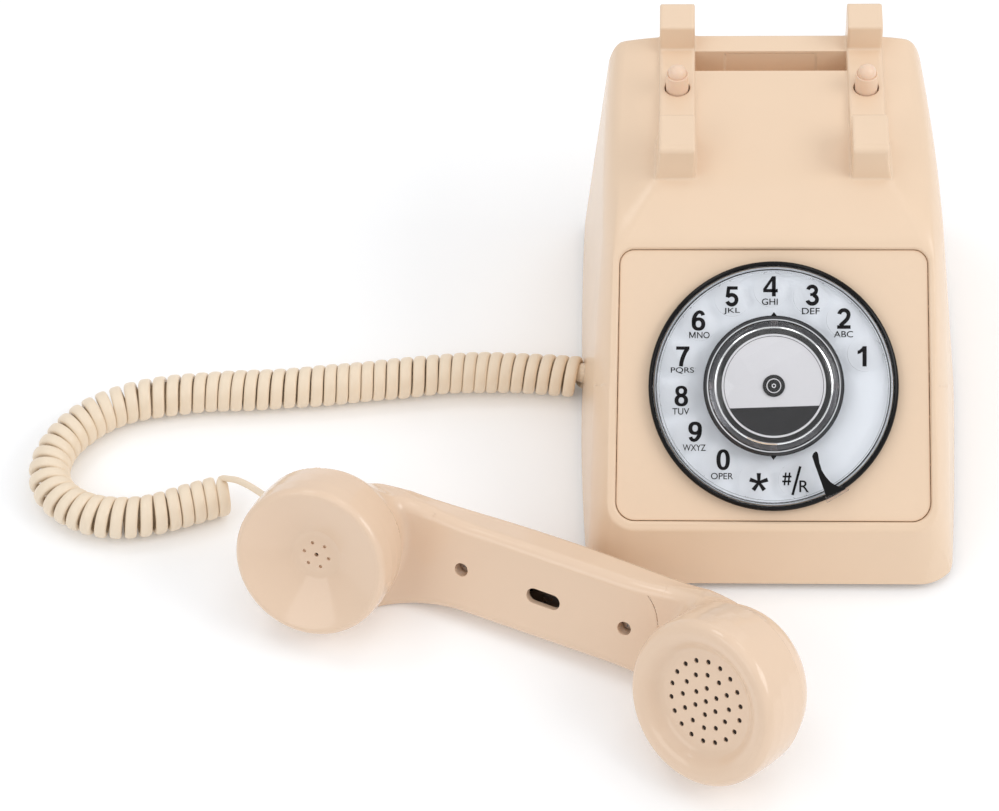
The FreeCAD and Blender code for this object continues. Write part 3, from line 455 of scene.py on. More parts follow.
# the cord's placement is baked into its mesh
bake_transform(coil)


# ------------------------------------------------------------------ distance fields
def smax(a, b, k):
    h = np.maximum(k - np.abs(a - b), 0) / k
    return np.maximum(a, b) + h * h * k * 0.25


def smin(a, b, k):
    return -smax(-a, -b, k)


def rmax(a, b, r):
    return np.where((a > -r) & (b > -r), np.sqrt(np.maximum(a + r, 0) ** 2 + np.maximum(b + r, 0) ** 2) - r, np.maximum(a, b))


def rmin(a, b, r):
    return -rmax(-a, -b, r)


def grad(f, p, e=0.05):
    g = np.empty_like(p)
    for k in range(3):
        d = np.zeros(3)
        d[k] = e
        g[:, k] = f(p + d) - f(p - d)
    return g / (2 * e)


def unit(v):
    return v / np.maximum(np.linalg.norm(v, axis=1), 1e-9)[:, None]


def chunked(f, p, size=400000):
    if len(p) <= size:
        return f(p)
    return np.concatenate([f(p[i:i + size]) for i in range(0, len(p), size)])


def field_mesh(f, lo, hi, h):
    """closed surface f = 0 as quads; corners of the surface keep their sharp edges"""
    lo = np.array(lo, float)
    n = np.ceil((np.array(hi, float) - lo) / h).astype(int) + 1
    B = 8
    nb = np.ceil(n / B).astype(int)
    n = nb * B + 1
    vals = np.full(tuple(n), 1e3, np.float32)
    bi = np.stack(np.meshgrid(*[np.arange(k) for k in nb], indexing="ij"), -1).reshape(-1, 3)
    d = chunked(f, lo + (bi * B + B / 2) * h)
    near = np.abs(d) < B / 2 * h * math.sqrt(3) * 1.3 + 0.4
    for (i, j, k), v in zip(bi[~near], d[~near]):
        vals[i * B:i * B + B + 1, j * B:j * B + B + 1, k * B:k * B + B + 1] = v
    off = np.stack(np.meshgrid(*[np.arange(B + 1)] * 3, indexing="ij"), -1).reshape(-1, 3)
    nearb = bi[near]
    for s0 in range(0, len(nearb), 500):
        blk = nearb[s0:s0 + 500]
        idx = (blk[:, None, :] * B + off[None]).reshape(-1, 3)
        vals[idx[:, 0], idx[:, 1], idx[:, 2]] = f(lo + idx * h).astype(np.float32)
    neg = vals < 0
    cnt = np.zeros(tuple(n - 1), np.int8)
    for a in (0, 1):
        for b in (0, 1):
            for c in (0, 1):
                cnt += neg[a:n[0] - 1 + a, b:n[1] - 1 + b, c:n[2] - 1 + c]
    act = np.argwhere((cnt > 0) & (cnt < 8))
    m = len(act)
    vid = np.full(tuple(n - 1), -1, np.int32)
    vid[act[:, 0], act[:, 1], act[:, 2]] = np.arange(m)
    acc = np.zeros((16, m))
    faces = []
    for ax in range(3):
        o1, o2 = [(1, 2), (2, 0), (0, 1)][ax]
        sl0 = [slice(None)] * 3
        sl1 = [slice(None)] * 3
        sl0[ax] = slice(0, n[ax] - 1)
        sl1[ax] = slice(1, n[ax])
        e = np.argwhere(neg[tuple(sl0)] != neg[tuple(sl1)])
        e = e[(e[:, o1] > 0) & (e[:, o2] > 0) & (e[:, o1] < n[o1] - 1) & (e[:, o2] < n[o2] - 1)]
        e1 = e.copy()
        e1[:, ax] += 1
        v0 = vals[e[:, 0], e[:, 1], e[:, 2]].astype(float)
        v1 = vals[e1[:, 0], e1[:, 1], e1[:, 2]].astype(float)
        t0, t1 = np.zeros(len(e)), np.ones(len(e))
        t = v0 / (v0 - v1)
        base = lo + e * h
        for _ in range(2):
            q = base.copy()
            q[:, ax] += t * h
            fq = chunked(f, q)
            same = (fq < 0) == (v0 < 0)
            t0, v0 = np.where(same, t, t0), np.where(same, fq, v0)
            t1, v1 = np.where(same, t1, t), np.where(same, v1, fq)
            t = t0 + (t1 - t0) * np.clip(v0 / np.where(np.abs(v0 - v1) < 1e-12, 1e-12, v0 - v1), 0, 1)
        q = base.copy()
        q[:, ax] += t * h
        nn = unit(grad(f, q))
        ins = neg[e[:, 0], e[:, 1], e[:, 2]]
        quad = []
        for a, b in ((1, 1), (0, 1), (0, 0), (1, 0)):
            c = e.copy()
            c[:, o1] -= a
            c[:, o2] -= b
            vi = vid[c[:, 0], c[:, 1], c[:, 2]]
            quad.append(vi)
            ok = vi >= 0
            w = vi[ok]
            qr = q[ok] - (lo + (c[ok] + 0.5) * h)
            k = nn[ok]
            dd = (k * qr).sum(1)
            cols = [k[:, 0] * k[:, 0], k[:, 0] * k[:, 1], k[:, 0] * k[:, 2], k[:, 1] * k[:, 1], k[:, 1] * k[:, 2], k[:, 2] * k[:, 2],
                    k[:, 0] * dd, k[:, 1] * dd, k[:, 2] * dd, qr[:, 0], qr[:, 1], qr[:, 2], k[:, 0], k[:, 1], k[:, 2], np.ones(len(w))]
            for i, c_ in enumerate(cols):
                acc[i] += np.bincount(w, c_, m)
        quad = np.stack(quad, 1)
        quad[~ins] = quad[~ins][:, ::-1]
        faces.append(quad)
    Fq = np.concatenate(faces)
    Fq = Fq[(Fq >= 0).all(1)]
    num = np.maximum(acc[15], 1)
    mean = (acc[9:12] / num).T
    M = np.empty((m, 3, 3))
    for i, (r_, c_) in enumerate(((0, 0), (0, 1), (0, 2), (1, 1), (1, 2), (2, 2))):
        M[:, r_, c_] = acc[i]
        M[:, c_, r_] = acc[i]
    rhs = acc[6:9].T - np.einsum("nij,nj->ni", M, mean)
    x = mean + np.linalg.solve(M + np.eye(3) * 0.06, rhs[:, :, None])[:, :, 0]
    x = np.clip(x, -0.62 * h, 0.62 * h)
    V = lo + (act + 0.5) * h + x
    crisp = np.linalg.norm(acc[12:15], axis=0) / num < 0.965
    s = ~crisp
    for _ in range(2):
        Q = V[s]
        d = chunked(f, Q)
        g = grad(f, Q)
        mv = -(d / np.maximum((g * g).sum(1), 0.2))[:, None] * g
        ln = np.linalg.norm(mv, axis=1)
        V[s] = Q + mv * np.minimum(1.0, 0.5 * h / np.maximum(ln, 1e-9))[:, None]
    N = unit(grad(f, V, 0.1))
    cen = V[Fq].mean(1)
    LN = N[Fq]
    lc = crisp[Fq]
    pts = (V[Fq] * 0.5 + cen[:, None, :] * 0.5)[lc]
    LN[lc] = unit(grad(f, pts, 0.04))
    return V, Fq, LN


def field_object(name, f, lo, hi, h, body, mat, to=None, keep=None):
    V, Fq, LN = field_mesh(f, lo, hi, h)
    if keep is not None:
        Fq_keep = keep(V)[Fq].all(1)
        Fq, LN = Fq[Fq_keep], LN[Fq_keep]
        used = np.unique(Fq)
        remap = np.full(len(V), -1)
        remap[used] = np.arange(len(used))
        V, Fq = V[used], remap[Fq]
    if to is not None:
        V = apply(to, V)
        LN = LN @ to[:3, :3].T
    v = V.copy()
    v[:, 1] += YS
    v *= MM
    me = bpy.data.meshes.new(name)
    me.vertices.add(len(v))
    me.vertices.foreach_set("co", v.ravel())
    me.loops.add(len(Fq) * 4)
    me.polygons.add(len(Fq))
    me.polygons.foreach_set("loop_start", np.arange(len(Fq)) * 4)
    me.loops.foreach_set("vertex_index", Fq.ravel())
    me.update(calc_edges=True)
    me.polygons.foreach_set("use_smooth", [True] * len(me.polygons))
    fn = np.zeros(len(Fq) * 3)
    me.polygons.foreach_get("normal", fn)
    if (fn.reshape(-1, 3) * LN.mean(1)).sum(1).mean() < 0:
        me.flip_normals()
        order = np.zeros(len(me.loops), int)
        me.loops.foreach_get("vertex_index", order)
        LN = LN[:, ::-1]
        if not (order.reshape(-1, 4)[0] == Fq[0][::-1]).all():
            LN = np.roll(LN, 1, axis=1)
    me.normals_split_custom_set(LN.reshape(-1, 3).tolist())
    me.materials.append(mat)
    ob = bpy.data.objects.new(name, me)
    sc.collection.objects.link(ob)
    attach(ob, body)
    return ob


# ------------------------------------------------------------------ housing
SLOPE = math.radians(39.4)
CS, SN = math.cos(SLOPE), math.sin(SLOPE)
FACE_Y, FACE_Z = 9.44, 28.95
RIM_PROUD = 1.2
PRONG_X, PRONG_W = 35.4, 13.3
FACE = basis((1, 0, 0), (0, CS, SN), (0, -SN, CS), (0, FACE_Y, FACE_Z))
DIAL = basis((1, 0, 0), (0, CS, SN), (0, -SN, CS), (0, FACE_Y + 49.35 * CS, FACE_Z + 49.35 * SN))
_zt = np.arange(-2.0, 130.0, 1.0)


def _plan_table():
    out = []
    for z in _zt:
        dr = math.tan(math.radians(6.0)) * (z - 3.5)
        yf = 0.1935 * (z - 3.5)
        yb = 188.5 - 0.0429 * (z - 3.5)
        wf, wm, wr = 68.7 - dr, 73.6 - dr, 71.5 - dr * 1.1
        ym = (yf + yb) / 2 + 14
        A = np.array([[2 * wf, 2 * yf, 1], [2 * wm, 2 * ym, 1], [2 * wr, 2 * yb, 1]])
        s = np.linalg.solve(A, [wf * wf + yf * yf, wm * wm + ym * ym, wr * wr + yb * yb])
        out.append((s[0], s[1], math.sqrt(s[2] + s[0] ** 2 + s[1] ** 2)))
    return np.array(out)


_pt = _plan_table()


def walls(p):
    x, y, z = np.abs(p[:, 0] + np.interp(p[:, 1], [30.0, 64.0, 100.0, 140.0, 184.0], [0.8, 0.6, 0.0, 1.0, 2.3])), p[:, 1], p[:, 2]
    cx, cy, R = (np.interp(z, _zt, _pt[:, k]) for k in range(3))
    side = (np.sqrt((x - cx) ** 2 + (y - cy) ** 2) - R) * math.cos(math.radians(6.0))
    front = (0.1935 * (z - 3.5) - y) * 0.9818
    back = (y - 188.5 + 0.0429 * (z - 3.5)) * 0.999
    return side, front, back


def slope_coords(p):
    yy, zz = p[:, 1] - FACE_Y, p[:, 2] - FACE_Z
    return p[:, 0], yy * CS + zz * SN, -yy * SN + zz * CS


def face_d(sx, sy, off):
    """rounded trapezium of the faceplate, grown by off"""
    t = np.clip(sy / 99.4, 0, 1)
    hw = 57.6 + (56.2 - 57.6) * t + off
    r = np.where(sy < 49.7, 7.0, 5.3) + off
    du, dv = np.abs(sx) - (hw - r), np.abs(sy - 49.7) - (49.7 + off - r)
    return np.sqrt(np.maximum(du, 0) ** 2 + np.maximum(dv, 0) ** 2) + np.minimum(np.maximum(du, dv), 0) - r


def bars_d(p):
    x, y, z = np.abs(p[:, 0]), p[:, 1], p[:, 2]
    sad = z - 108.9
    frontp = smax(y - 129.0 + (z - 109) * 0.04, z - 120.0, 0.9)
    rearp = smax(174.6 - y, z - 120.0, 1.2)
    prof = rmin(sad, frontp, 4.5)
    prof = rmin(prof, rearp, 1.1)
    fr = 110.0 + (z - 105) * 0.03 - y
    bk = y - 188.4 + (z - 104) * 0.01
    prof = rmax(prof, fr, 2.4)
    prof = rmax(prof, bk, 1.1)
    flare = 1.9 * np.clip((117.5 - z) / 14.0, 0, 1) ** 2.2 * np.clip((133.0 - y) / 6.0, 0, 1)
    inner = (PRONG_X - PRONG_W / 2) - x
    outer = x - (PRONG_X + PRONG_W / 2) - flare
    d = rmax(prof, np.maximum(inner, outer), 0.9)
    return np.maximum(d, 100.0 - z)


_LF, _LP = math.hypot(20.6, 9.3), math.hypot(74.0, 3.0)
RIM_OUT = 3.6


def housing_solid(p):
    x, y, z = p[:, 0], p[:, 1], p[:, 2]
    side, front, back = walls(p)
    sx, sy, sz = slope_coords(p)
    slope = sz - RIM_PROUD
    fd = face_d(sx, sy, 0.0)
    # the flat rim round the faceplate; above it the forehead, beside and below it the flanks fall away
    fore = (-(y - 110.0) * 9.3 + (z - 105.5) * 20.6) / _LF
    cone = (slope + (fd - RIM_OUT) * 0.275) / 1.037
    fore = np.where(sy > 49.7, np.maximum(fore, cone - 0.06 * np.maximum(sy - 101.0, 0)), fore)
    T = smax(slope, fore, 0.45)
    w = np.where(sy < 49.7, fd, np.abs(sx) - (57.6 - 1.4 * sy / 99.4))
    G = (np.where(sy < 49.7, slope, T) + (w - RIM_OUT) * 0.72) / 1.232
    G = rmax(G, side, 8.5)
    A = smax(T, G, 0.45)
    plat = (-(y - 110.0) * 3.0 + (z - 105.5) * 74.0) / _LP
    plat = np.maximum(plat, -60.0)
    ks = np.interp(y, [112.0, 184.0], [0.47, 0.22])
    facet = (z - 105.5 - 0.0405 * (y - 110.0) + ks * (np.abs(x) - 43.5)) / 1.08
    Bt = rmax(smax(plat, facet, 3.0), side, 7.5)
    top = smax(A, Bt, 2.0 + 4.5 * np.clip((np.abs(x) - 45.0) / 15.0, 0, 1))
    top = rmax(top, back, 2.6)
    top = smax(top, front, 1.0)
    d = np.maximum(top, rmax(rmax(side, front, 14.0), back, 9.0))
    return d, side, front, back, sx, sy, sz


def housing(p):
    x, y, z = p[:, 0], p[:, 1], p[:, 2]
    d, side, front, back, sx, sy, sz = housing_solid(p)
    hollow = d + 2.6
    posts = np.maximum(np.sqrt((np.abs(x) - PRONG_X) ** 2 + (y - 154.0) ** 2) - 6.6, 94.0 - z)
    box = np.maximum(np.maximum(np.abs(x) - 31.0, np.maximum(161.8 - y, y - 176.8)), 92.6 - z)
    ledge = np.maximum(face_d(sx, sy, 2.4), -(sz + 5.2))
    window = face_d(sx, sy, -4.5)
    hollow = np.maximum(np.maximum(np.maximum(hollow, -posts), -box), -np.maximum(ledge, -window))
    d = rmax(d, -(np.maximum(face_d(sx, sy, 0.22), -(sz + 1.0))), 1.15)
    d = np.maximum(d, -(np.maximum(face_d(sx, sy, 0.04), -(sz + 2.6))))
    d = rmin(d, bars_d(p), 0.7)
    d = rmax(d, -np.maximum(np.maximum(np.abs(x) - 28.6, np.maximum(164.2 - y, y - 174.4)), 95.0 - z), 0.35)
    panel = np.maximum(np.maximum(np.abs(x) - 17.4, np.abs(z - 101.0) - 6.0), np.abs(y - 174.4) - 0.35)
    line = np.maximum(panel, -np.maximum(np.abs(x) - 16.9, np.abs(z - 101.0) - 5.5))
    d = np.maximum(d, -line)
    d = rmax(d, -np.maximum(np.sqrt((np.abs(x) - PRONG_X) ** 2 + (y - 154.0) ** 2) - 4.8, 90.0 - z), 0.35)
    d = np.maximum(d, -hollow)
    d = np.maximum(d, -(np.sqrt((y - 97.2) ** 2 + (z - 10.4) ** 2 + np.maximum(x + 60, 0) ** 2) - 3.95))
    jack = np.maximum(np.maximum(np.abs(x - 32.0) - 7.1, np.abs(z - 14.5) - 5.6), 180.0 - y)
    d = np.maximum(d, -jack)
    return np.maximum(d, 3.5 - z)


HH = 0.8
house = field_object("housing", housing, (-76, -3, 1), (76, 192, 123.5), HH, "root", M_HOUSE)
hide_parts("upper_shell")


def prism_rings(outline, levels):
    """rings of an outline moved inward: levels is a list of (inset, z)"""
    o = np.array(outline, float)
    nx = np.roll(o, -1, 0) - np.roll(o, 1, 0)
    nx = np.stack([nx[:, 1], -nx[:, 0]], 1)
    nx /= np.linalg.norm(nx, axis=1)[:, None]
    return [np.concatenate([o - nx * i, np.full((len(o), 1), z)], 1) for i, z in levels]


def rounded_outline(pts, rads, n=14):
    out = []
    m = len(pts)
    for i in range(m):
        p = np.array(pts[i], float)
        a = np.array(pts[i - 1], float) - p
        b = np.array(pts[(i + 1) % m], float) - p
        a /= np.linalg.norm(a)
        b /= np.linalg.norm(b)
        half = math.acos(np.clip(a @ b, -1, 1)) / 2
        d = rads[i] / math.tan(half)
        c = p + (a + b) / np.linalg.norm(a + b) * rads[i] / math.sin(half)
        s, e = p + a * d - c, p + b * d - c
        a0, a1 = math.atan2(s[1], s[0]), math.atan2(e[1], e[0])
        while a1 - a0 > math.pi:
            a1 -= 2 * math.pi
        while a1 - a0 < -math.pi:
            a1 += 2 * math.pi
        for k in range(n + 1):
            t = a0 + (a1 - a0) * k / n
            out.append((c[0] + rads[i] * math.cos(t), c[1] + rads[i] * math.sin(t)))
    return out


def ring_loft(name, rings, m, body, mat, caps=True, auto=35.0):
    k = len(rings[0])
    V = np.concatenate(rings)
    faces = []
    for i in range(len(rings) - 1):
        for j in range(k):
            j2 = (j + 1) % k
            faces.append((i * k + j, i * k + j2, (i + 1) * k + j2, (i + 1) * k + j))
    if caps:
        faces.append(tuple(range(k))[::-1])
        faces.append(tuple((len(rings) - 1) * k + j for j in range(k)))
    ob = new_mesh(name, apply(m, V), faces, body, mat=mat)
    fix_normals(ob)
    sharp(ob, auto)
    return ob


plate_out = rounded_outline([(-57.6, 0), (57.6, 0), (56.2, 99.4), (-56.2, 99.4)], [7.0, 7.0, 5.3, 5.3])
face = ring_loft("dial_faceplate", prism_rings(plate_out, [(0, -2.4), (0, -0.4), (0.06, -0.2), (0.2, -0.06), (0.4, 0.0), (0.9, 0.0)]), FACE, "root", M_FACE)
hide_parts("faceplate")

# ------------------------------------------------------------------ dial
bezel = lathe("dial_bezel_ring", [(43.9, 0.0), (45.7, 0.0), (45.7, 2.9), (45.55, 3.4), (45.15, 3.8), (44.7, 3.95), (44.3, 3.85), (44.0, 3.5), (43.9, 3.0)], DIAL, "root", 192, M_BLACK, closed=True)
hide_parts("dial_bezel")


def wheel_f(p):
    x, y, z = p[:, 0], p[:, 1], p[:, 2]
    r = np.sqrt(x * x + y * y)
    d = np.maximum(np.abs(z - 4.1) - 1.5, r - 41.7)
    a = np.arctan2(y, x) - math.radians(19.5)
    k = np.clip(np.round(a / math.radians(24.0)), -4, 11)
    a2 = np.where(a < -math.radians(60.0 + 12), a + 2 * math.pi, a)
    k = np.clip(np.round(a2 / math.radians(24.0)), 0, 11)
    t = a2 - k * math.radians(24.0)
    hole = np.sqrt((r * np.cos(t) - 35.3) ** 2 + (r * np.sin(t)) ** 2) - 6.4
    d = np.maximum(d, -hole)
    return np.maximum(d, 3.1 - r)


wheel = field_object("finger_wheel_clear", wheel_f, (-44.5, -44.5, 1.8), (44.5, 44.5, 6.6), 0.5, "dial", M_WHEEL, to=DIAL)
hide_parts("finger_wheel")
rim = lathe("finger_wheel_rim", [(41.76, 2.6), (43.1, 2.6), (43.4, 2.85), (43.4, 5.3), (43.25, 5.55), (42.95, 5.68), (42.6, 5.6), (42.3, 5.42), (41.95, 5.5), (41.76, 5.6)], DIAL, "dial", 224, M_RIM, closed=True)
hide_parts("finger_wheel")

hub = lathe("hub_ring", [(3.02, 5.6), (25.4, 5.6), (25.7, 5.85), (25.7, 6.9), (25.5, 7.35), (24.9, 7.95), (24.6, 8.15), (24.25, 8.2), (24.02, 8.0), (24.0, 7.05), (3.02, 7.0)],
            DIAL, "dial", 160, M_HUB, closed=True)
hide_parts("dial_hub")


def bump_f(p):
    x, y, z = p[:, 0], np.abs(p[:, 1]), p[:, 2]
    tri = np.maximum(np.abs(x) * 0.78 + (y - 26.0) * 0.62 - 0.62, 24.6 - y)
    return rmax(tri, np.abs(z - 6.2) - 0.95, 0.3)


bumps = [field_object("hub_mark_" + nm, (lambda s: lambda p: bump_f(p * np.array([1, s, 1])) + np.where(p[:, 1] * s < 0, 50.0, 0.0))(s), (-2.4, min(s * 24, s * 28), 4.6), (2.4, max(s * 24, s * 28), 7.8), 0.3, "dial", M_BLACK, to=DIAL)
         for nm, s in (("top", 1), ("bottom", -1))]

back = lathe("card_backing", [(4.6, 7.02), (21.15, 7.02), (21.2, 7.07), (21.2, 7.17), (21.1, 7.2), (4.6, 7.2)], DIAL, "dial", 160, M_BLACK, closed=True)
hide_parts("dial_card")
card = lathe("card_disc", [(0.0, 7.22), (18.95, 7.22), (19.0, 7.26), (19.0, 7.44), (18.95, 7.48), (0.0, 7.48)], DIAL, "dial", 160, M_CARD)
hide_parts("dial_card")


def flat_piece(name, polys, m, z, body, mat, thick=0.05):
    """thin flat shapes, printed marks and painted shade rings; polys is a list of (verts, faces) in the plane"""
    V, Fc = [], []
    for vs, fs in polys:
        o = len(V)
        n = len(vs)
        V += [(x, y, z + thick) for x, y in vs] + [(x, y, z) for x, y in vs]
        Fc += [tuple(o + i for i in f) for f in fs]
        Fc += [tuple(o + n + i for i in f)[::-1] for f in fs]
        cnt = {}
        for f in fs:
            for a_, b_ in zip(f, f[1:] + f[:1]):
                cnt[(a_, b_)] = cnt.get((a_, b_), 0) + 1
        for (a_, b_) in list(cnt):
            if (b_, a_) not in cnt:
                Fc.append((o + b_, o + a_, o + n + a_, o + n + b_))
    return new_mesh(name, apply(m, V), Fc, body, smooth=False, mat=mat)


def ring_poly(r0, r1, n=128):
    vs = [(r0 * math.cos(2 * math.pi * i / n), r0 * math.sin(2 * math.pi * i / n)) for i in range(n)]
    vs += [(r1 * math.cos(2 * math.pi * i / n), r1 * math.sin(2 * math.pi * i / n)) for i in range(n)]
    fs = [(i, n + i, n + (i + 1) % n, (i + 1) % n) for i in range(n)]
    return vs, fs


seg = []
for i in range(65):
    a = math.pi + math.asin(7.75 / 18.15) + (math.pi - 2 * math.asin(7.75 / 18.15)) * i / 64
    seg.append((18.15 * math.cos(a), 18.15 * math.sin(a)))
ROT2 = math.radians(2.0)
seg = [(x * math.cos(ROT2) - y * math.sin(ROT2), x * math.sin(ROT2) + y * math.cos(ROT2)) for x, y in seg]
card_print = [(seg, [tuple(range(len(seg)))]), ring_poly(18.05, 18.25)]
printed = flat_piece("card_print", card_print, DIAL, 7.482, "dial", M_PRINT_AND_SHADE)

cap = lathe("card_cap_clear", [(0, 9.6), (19.9, 9.6), (20.8, 9.3), (21.3, 8.6), (21.45, 8.0), (23.85, 8.0), (23.9, 8.5), (23.6, 9.1), (22.7, 9.85), (21.6, 10.35), (20.2, 10.6), (0, 10.6)], DIAL, "dial", 160, M_CLEAR)
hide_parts("card_cap")
for i in range(4):
    a = math.pi / 2 * i
    mt = DIAL @ basis((math.cos(a), math.sin(a), 0), (-math.sin(a), math.cos(a), 0), (0, 0, 1), (0, 0, 0))
    tab = field_object("cap_tab_%d" % (i + 1), lambda p: rmax(rmax(np.abs(p[:, 0] - 22.6) - 1.0, np.abs(p[:, 1]) - 1.3, 0.3), np.abs(p[:, 2] - 9.95) - 0.4, 0.25) , (20.8, -2.2, 8.8), (24.4, 2.2, 11.2), 0.3, "dial", M_TAB, to=mt)


# thin dark rings painted on the number plate: painted shade in the gaps at the finger wheel's edge
rings = flat_piece("dial_edge_painted_shade_lines", [ring_poly(42.35, 42.55), ring_poly(43.2, 43.5)], DIAL, 0.81, "root", M_PRINT_AND_SHADE)
chrome = lathe("cap_seat_ring", [(21.25, 7.03), (23.75, 7.03), (23.8, 7.1), (23.8, 7.5), (23.6, 7.75), (22.9, 7.85), (22.2, 7.75), (21.4, 7.4), (21.25, 7.3)], DIAL, "dial", 160, M_CHROME, closed=True)
line_out = lathe("hub_edge_line", [(23.86, 8.02), (24.2, 8.24), (24.32, 8.26), (24.2, 8.3), (24.0, 8.28), (23.8, 8.1)], DIAL, "dial", 160, M_LINE, closed=True)
line_in = lathe("card_edge_line", [(21.02, 7.21), (21.3, 7.21), (21.34, 7.42), (21.2, 7.46), (21.02, 7.4)], DIAL, "dial", 160, M_LINE, closed=True)
pin = lathe("hub_screw_cover", [(0, 7.0), (3.9, 7.0), (4.05, 7.2), (4.05, 7.9), (3.9, 8.1), (2.9, 8.25), (2.75, 8.05), (2.3, 8.05), (2.15, 8.3), (0, 8.35)], DIAL, "dial", 64, M_BLACK)
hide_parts("hub_screw")
pin_lines = flat_piece("hub_screw_rings", [ring_poly(2.34, 2.68)], DIAL, 8.06, "dial", M_CARD)
pin_dot = flat_piece("hub_screw_dot", [ring_poly(0.45, 0.8)], DIAL, 8.37, "dial", M_CARD)


# printed numbers and letters
def ribbon(pts, w):
    p = np.array(pts, float)
    T = np.gradient(p, axis=0)
    T /= np.linalg.norm(T, axis=1)[:, None]
    N = np.stack([-T[:, 1], T[:, 0]], 1)
    w = np.broadcast_to(w, (len(p),))[:, None] / 2
    vs = [tuple(v) for v in np.concatenate([p + N * w, p - N * w])]
    n = len(p)
    return vs, [(i, n + i, n + i + 1, i + 1) for i in range(n - 1)]


def poly(*pts):
    return list(pts), [tuple(range(len(pts)))]


def rect2(x0, y0, x1, y1):
    return poly((x0, y0), (x1, y0), (x1, y1), (x0, y1))


def ell(cx, cy, rx, ry, a0, a1, n=20, e=2.0):
    out = []
    for i in range(n + 1):
        a = math.radians(a0 + (a1 - a0) * i / n)
        c, s = math.cos(a), math.sin(a)
        out.append((cx + rx * math.copysign(abs(c) ** (2 / e), c), cy + ry * math.copysign(abs(s) ** (2 / e), s)))
    return out


def oval(cx, cy, rx, ry, ix, iy, e=2.25, n=40):
    o = ell(cx, cy, rx, ry, 0, 360, n, e)[:-1]
    i_ = ell(cx, cy, ix, iy, 0, 360, n, e)[:-1]
    return i_ + o, [(k, n + k, n + (k + 1) % n, (k + 1) % n) for k in range(n)]


def turned(polys):
    return [([(-x, 1 - y) for x, y in vs], fs) for vs, fs in polys]


SIX = [oval(0, 0.315, 0.335, 0.33, 0.135, 0.165), ribbon([(-0.232, 0.30), (-0.238, 0.44), (-0.222, 0.58), (-0.185, 0.70), (-0.125, 0.80), (-0.04, 0.885), (0.06, 0.915), (0.15, 0.885), (0.205, 0.82), (0.225, 0.745)],
       np.array([0.20, 0.20, 0.20, 0.195, 0.185, 0.175, 0.17, 0.175, 0.185, 0.19]))]
GLYPH = {
    "0": [oval(0, 0.5, 0.335, 0.515, 0.13, 0.36, 2.3)],
    "1": [rect2(0.02, 0.0, 0.225, 1.0), poly((0.03, 1.0), (-0.03, 0.90), (-0.12, 0.82), (-0.225, 0.775), (-0.225, 0.60), (-0.10, 0.645), (0.03, 0.73))],
    "2": [ribbon(ell(0, 0.695, 0.232, 0.232, 172, -2, 18) + [(0.215, 0.60), (0.165, 0.49), (0.06, 0.375), (-0.07, 0.26), (-0.18, 0.15)], 0.195), rect2(-0.335, 0.0, 0.33, 0.175)],
    "3": [ribbon(ell(-0.005, 0.735, 0.205, 0.195, 168, -78, 20), 0.185), ribbon(ell(0, 0.285, 0.238, 0.215, 78, -168, 22), 0.195), rect2(-0.10, 0.455, 0.06, 0.60)],
    "4": [rect2(0.075, 0.0, 0.265, 1.0), rect2(-0.355, 0.205, 0.365, 0.365), poly((0.085, 1.0), (-0.355, 0.375), (-0.355, 0.27), (-0.205, 0.34), (0.10, 0.785))],
    "5": [rect2(-0.215, 0.825, 0.29, 0.99), poly((-0.235, 0.985), (-0.305, 0.46), (-0.13, 0.43), (-0.065, 0.985)), ribbon([(-0.215, 0.50)] + ell(-0.005, 0.325, 0.238, 0.245, 128, -160, 24), 0.19)],
    "6": SIX,
    "7": [rect2(-0.325, 0.825, 0.335, 0.99), ribbon([(0.225, 0.86), (0.13, 0.72), (0.045, 0.54), (-0.02, 0.36), (-0.065, 0.18), (-0.085, 0.0)], 0.20)],
    "8": [oval(0, 0.745, 0.295, 0.265, 0.115, 0.125), oval(0, 0.283, 0.335, 0.297, 0.135, 0.15)],
    "9": turned(SIX),
    "*": [ribbon([(0.05 * math.cos(math.radians(a_)), 0.5 + 0.05 * math.sin(math.radians(a_))), (0.465 * math.cos(math.radians(a_)), 0.5 + 0.465 * math.sin(math.radians(a_)))], np.array([0.14, 0.21])) for a_ in (90, 18, 162, 234, 306)] + [poly(*ell(0, 0.5, 0.1, 0.1, 0, 342, 19))],
    "#": [ribbon([(-0.115, 0.19), (-0.045, 0.82)], 0.082), ribbon([(0.075, 0.19), (0.145, 0.82)], 0.082), rect2(-0.225, 0.335, 0.21, 0.425), rect2(-0.205, 0.575, 0.235, 0.665)],
    "/": [ribbon([(-0.19, -0.21), (0.19, 1.21)], 0.125)],
}
DIGIT_AT = {"1": (32.40, 11.05), "2": (25.74, 24.81), "3": (14.15, 33.44), "4": (-1.13, 36.65), "5": (-15.24, 33.00), "6": (-27.41, 24.14), "7": (-33.17, 10.91),
            "8": (-33.64, -3.66), "9": (-28.55, -16.85), "0": (-18.24, -26.97), "*": (-5.20, -35.27), "#": (5.0, -33.95), "/": (8.53, -34.56)}
LETTER_AT = {"ABC": (25.60, 19.13, 7.0), "DEF": (13.65, 27.58, 6.5), "GHI": (-1.34, 31.00, 5.8), "JKL": (-15.23, 27.53, 6.0), "NO": (-25.62, 18.71, 4.6),
             "PQRS": (-33.26, 5.70, 8.5), "TUV": (-33.81, -9.31, 6.2), "WXYZ": (-28.86, -22.61, 8.4), "OPER": (-18.66, -32.98, 8.1), "R": (11.35, -36.6, 3.5)}
polys = []
for ch, (x0, y0) in DIGIT_AT.items():
    for vs, fs in GLYPH[ch]:
        polys.append(([(x0 + x * 7.4, y0 + (y - 0.5) * 7.4) for x, y in vs], fs))
for vs, fs in [rect2(0, 0, 0.15, 1), rect2(0.85, 0, 1, 1), poly((0.0, 1.0), (0.425, 0.08), (0.575, 0.08), (0.19, 1.0)), poly((0.81, 1.0), (0.425, 0.08), (0.575, 0.08), (1.0, 1.0))]:
    polys.append(([(-30.82 + x * 2.35, 18.71 + (y - 0.5) * 2.35) for x, y in vs], fs))
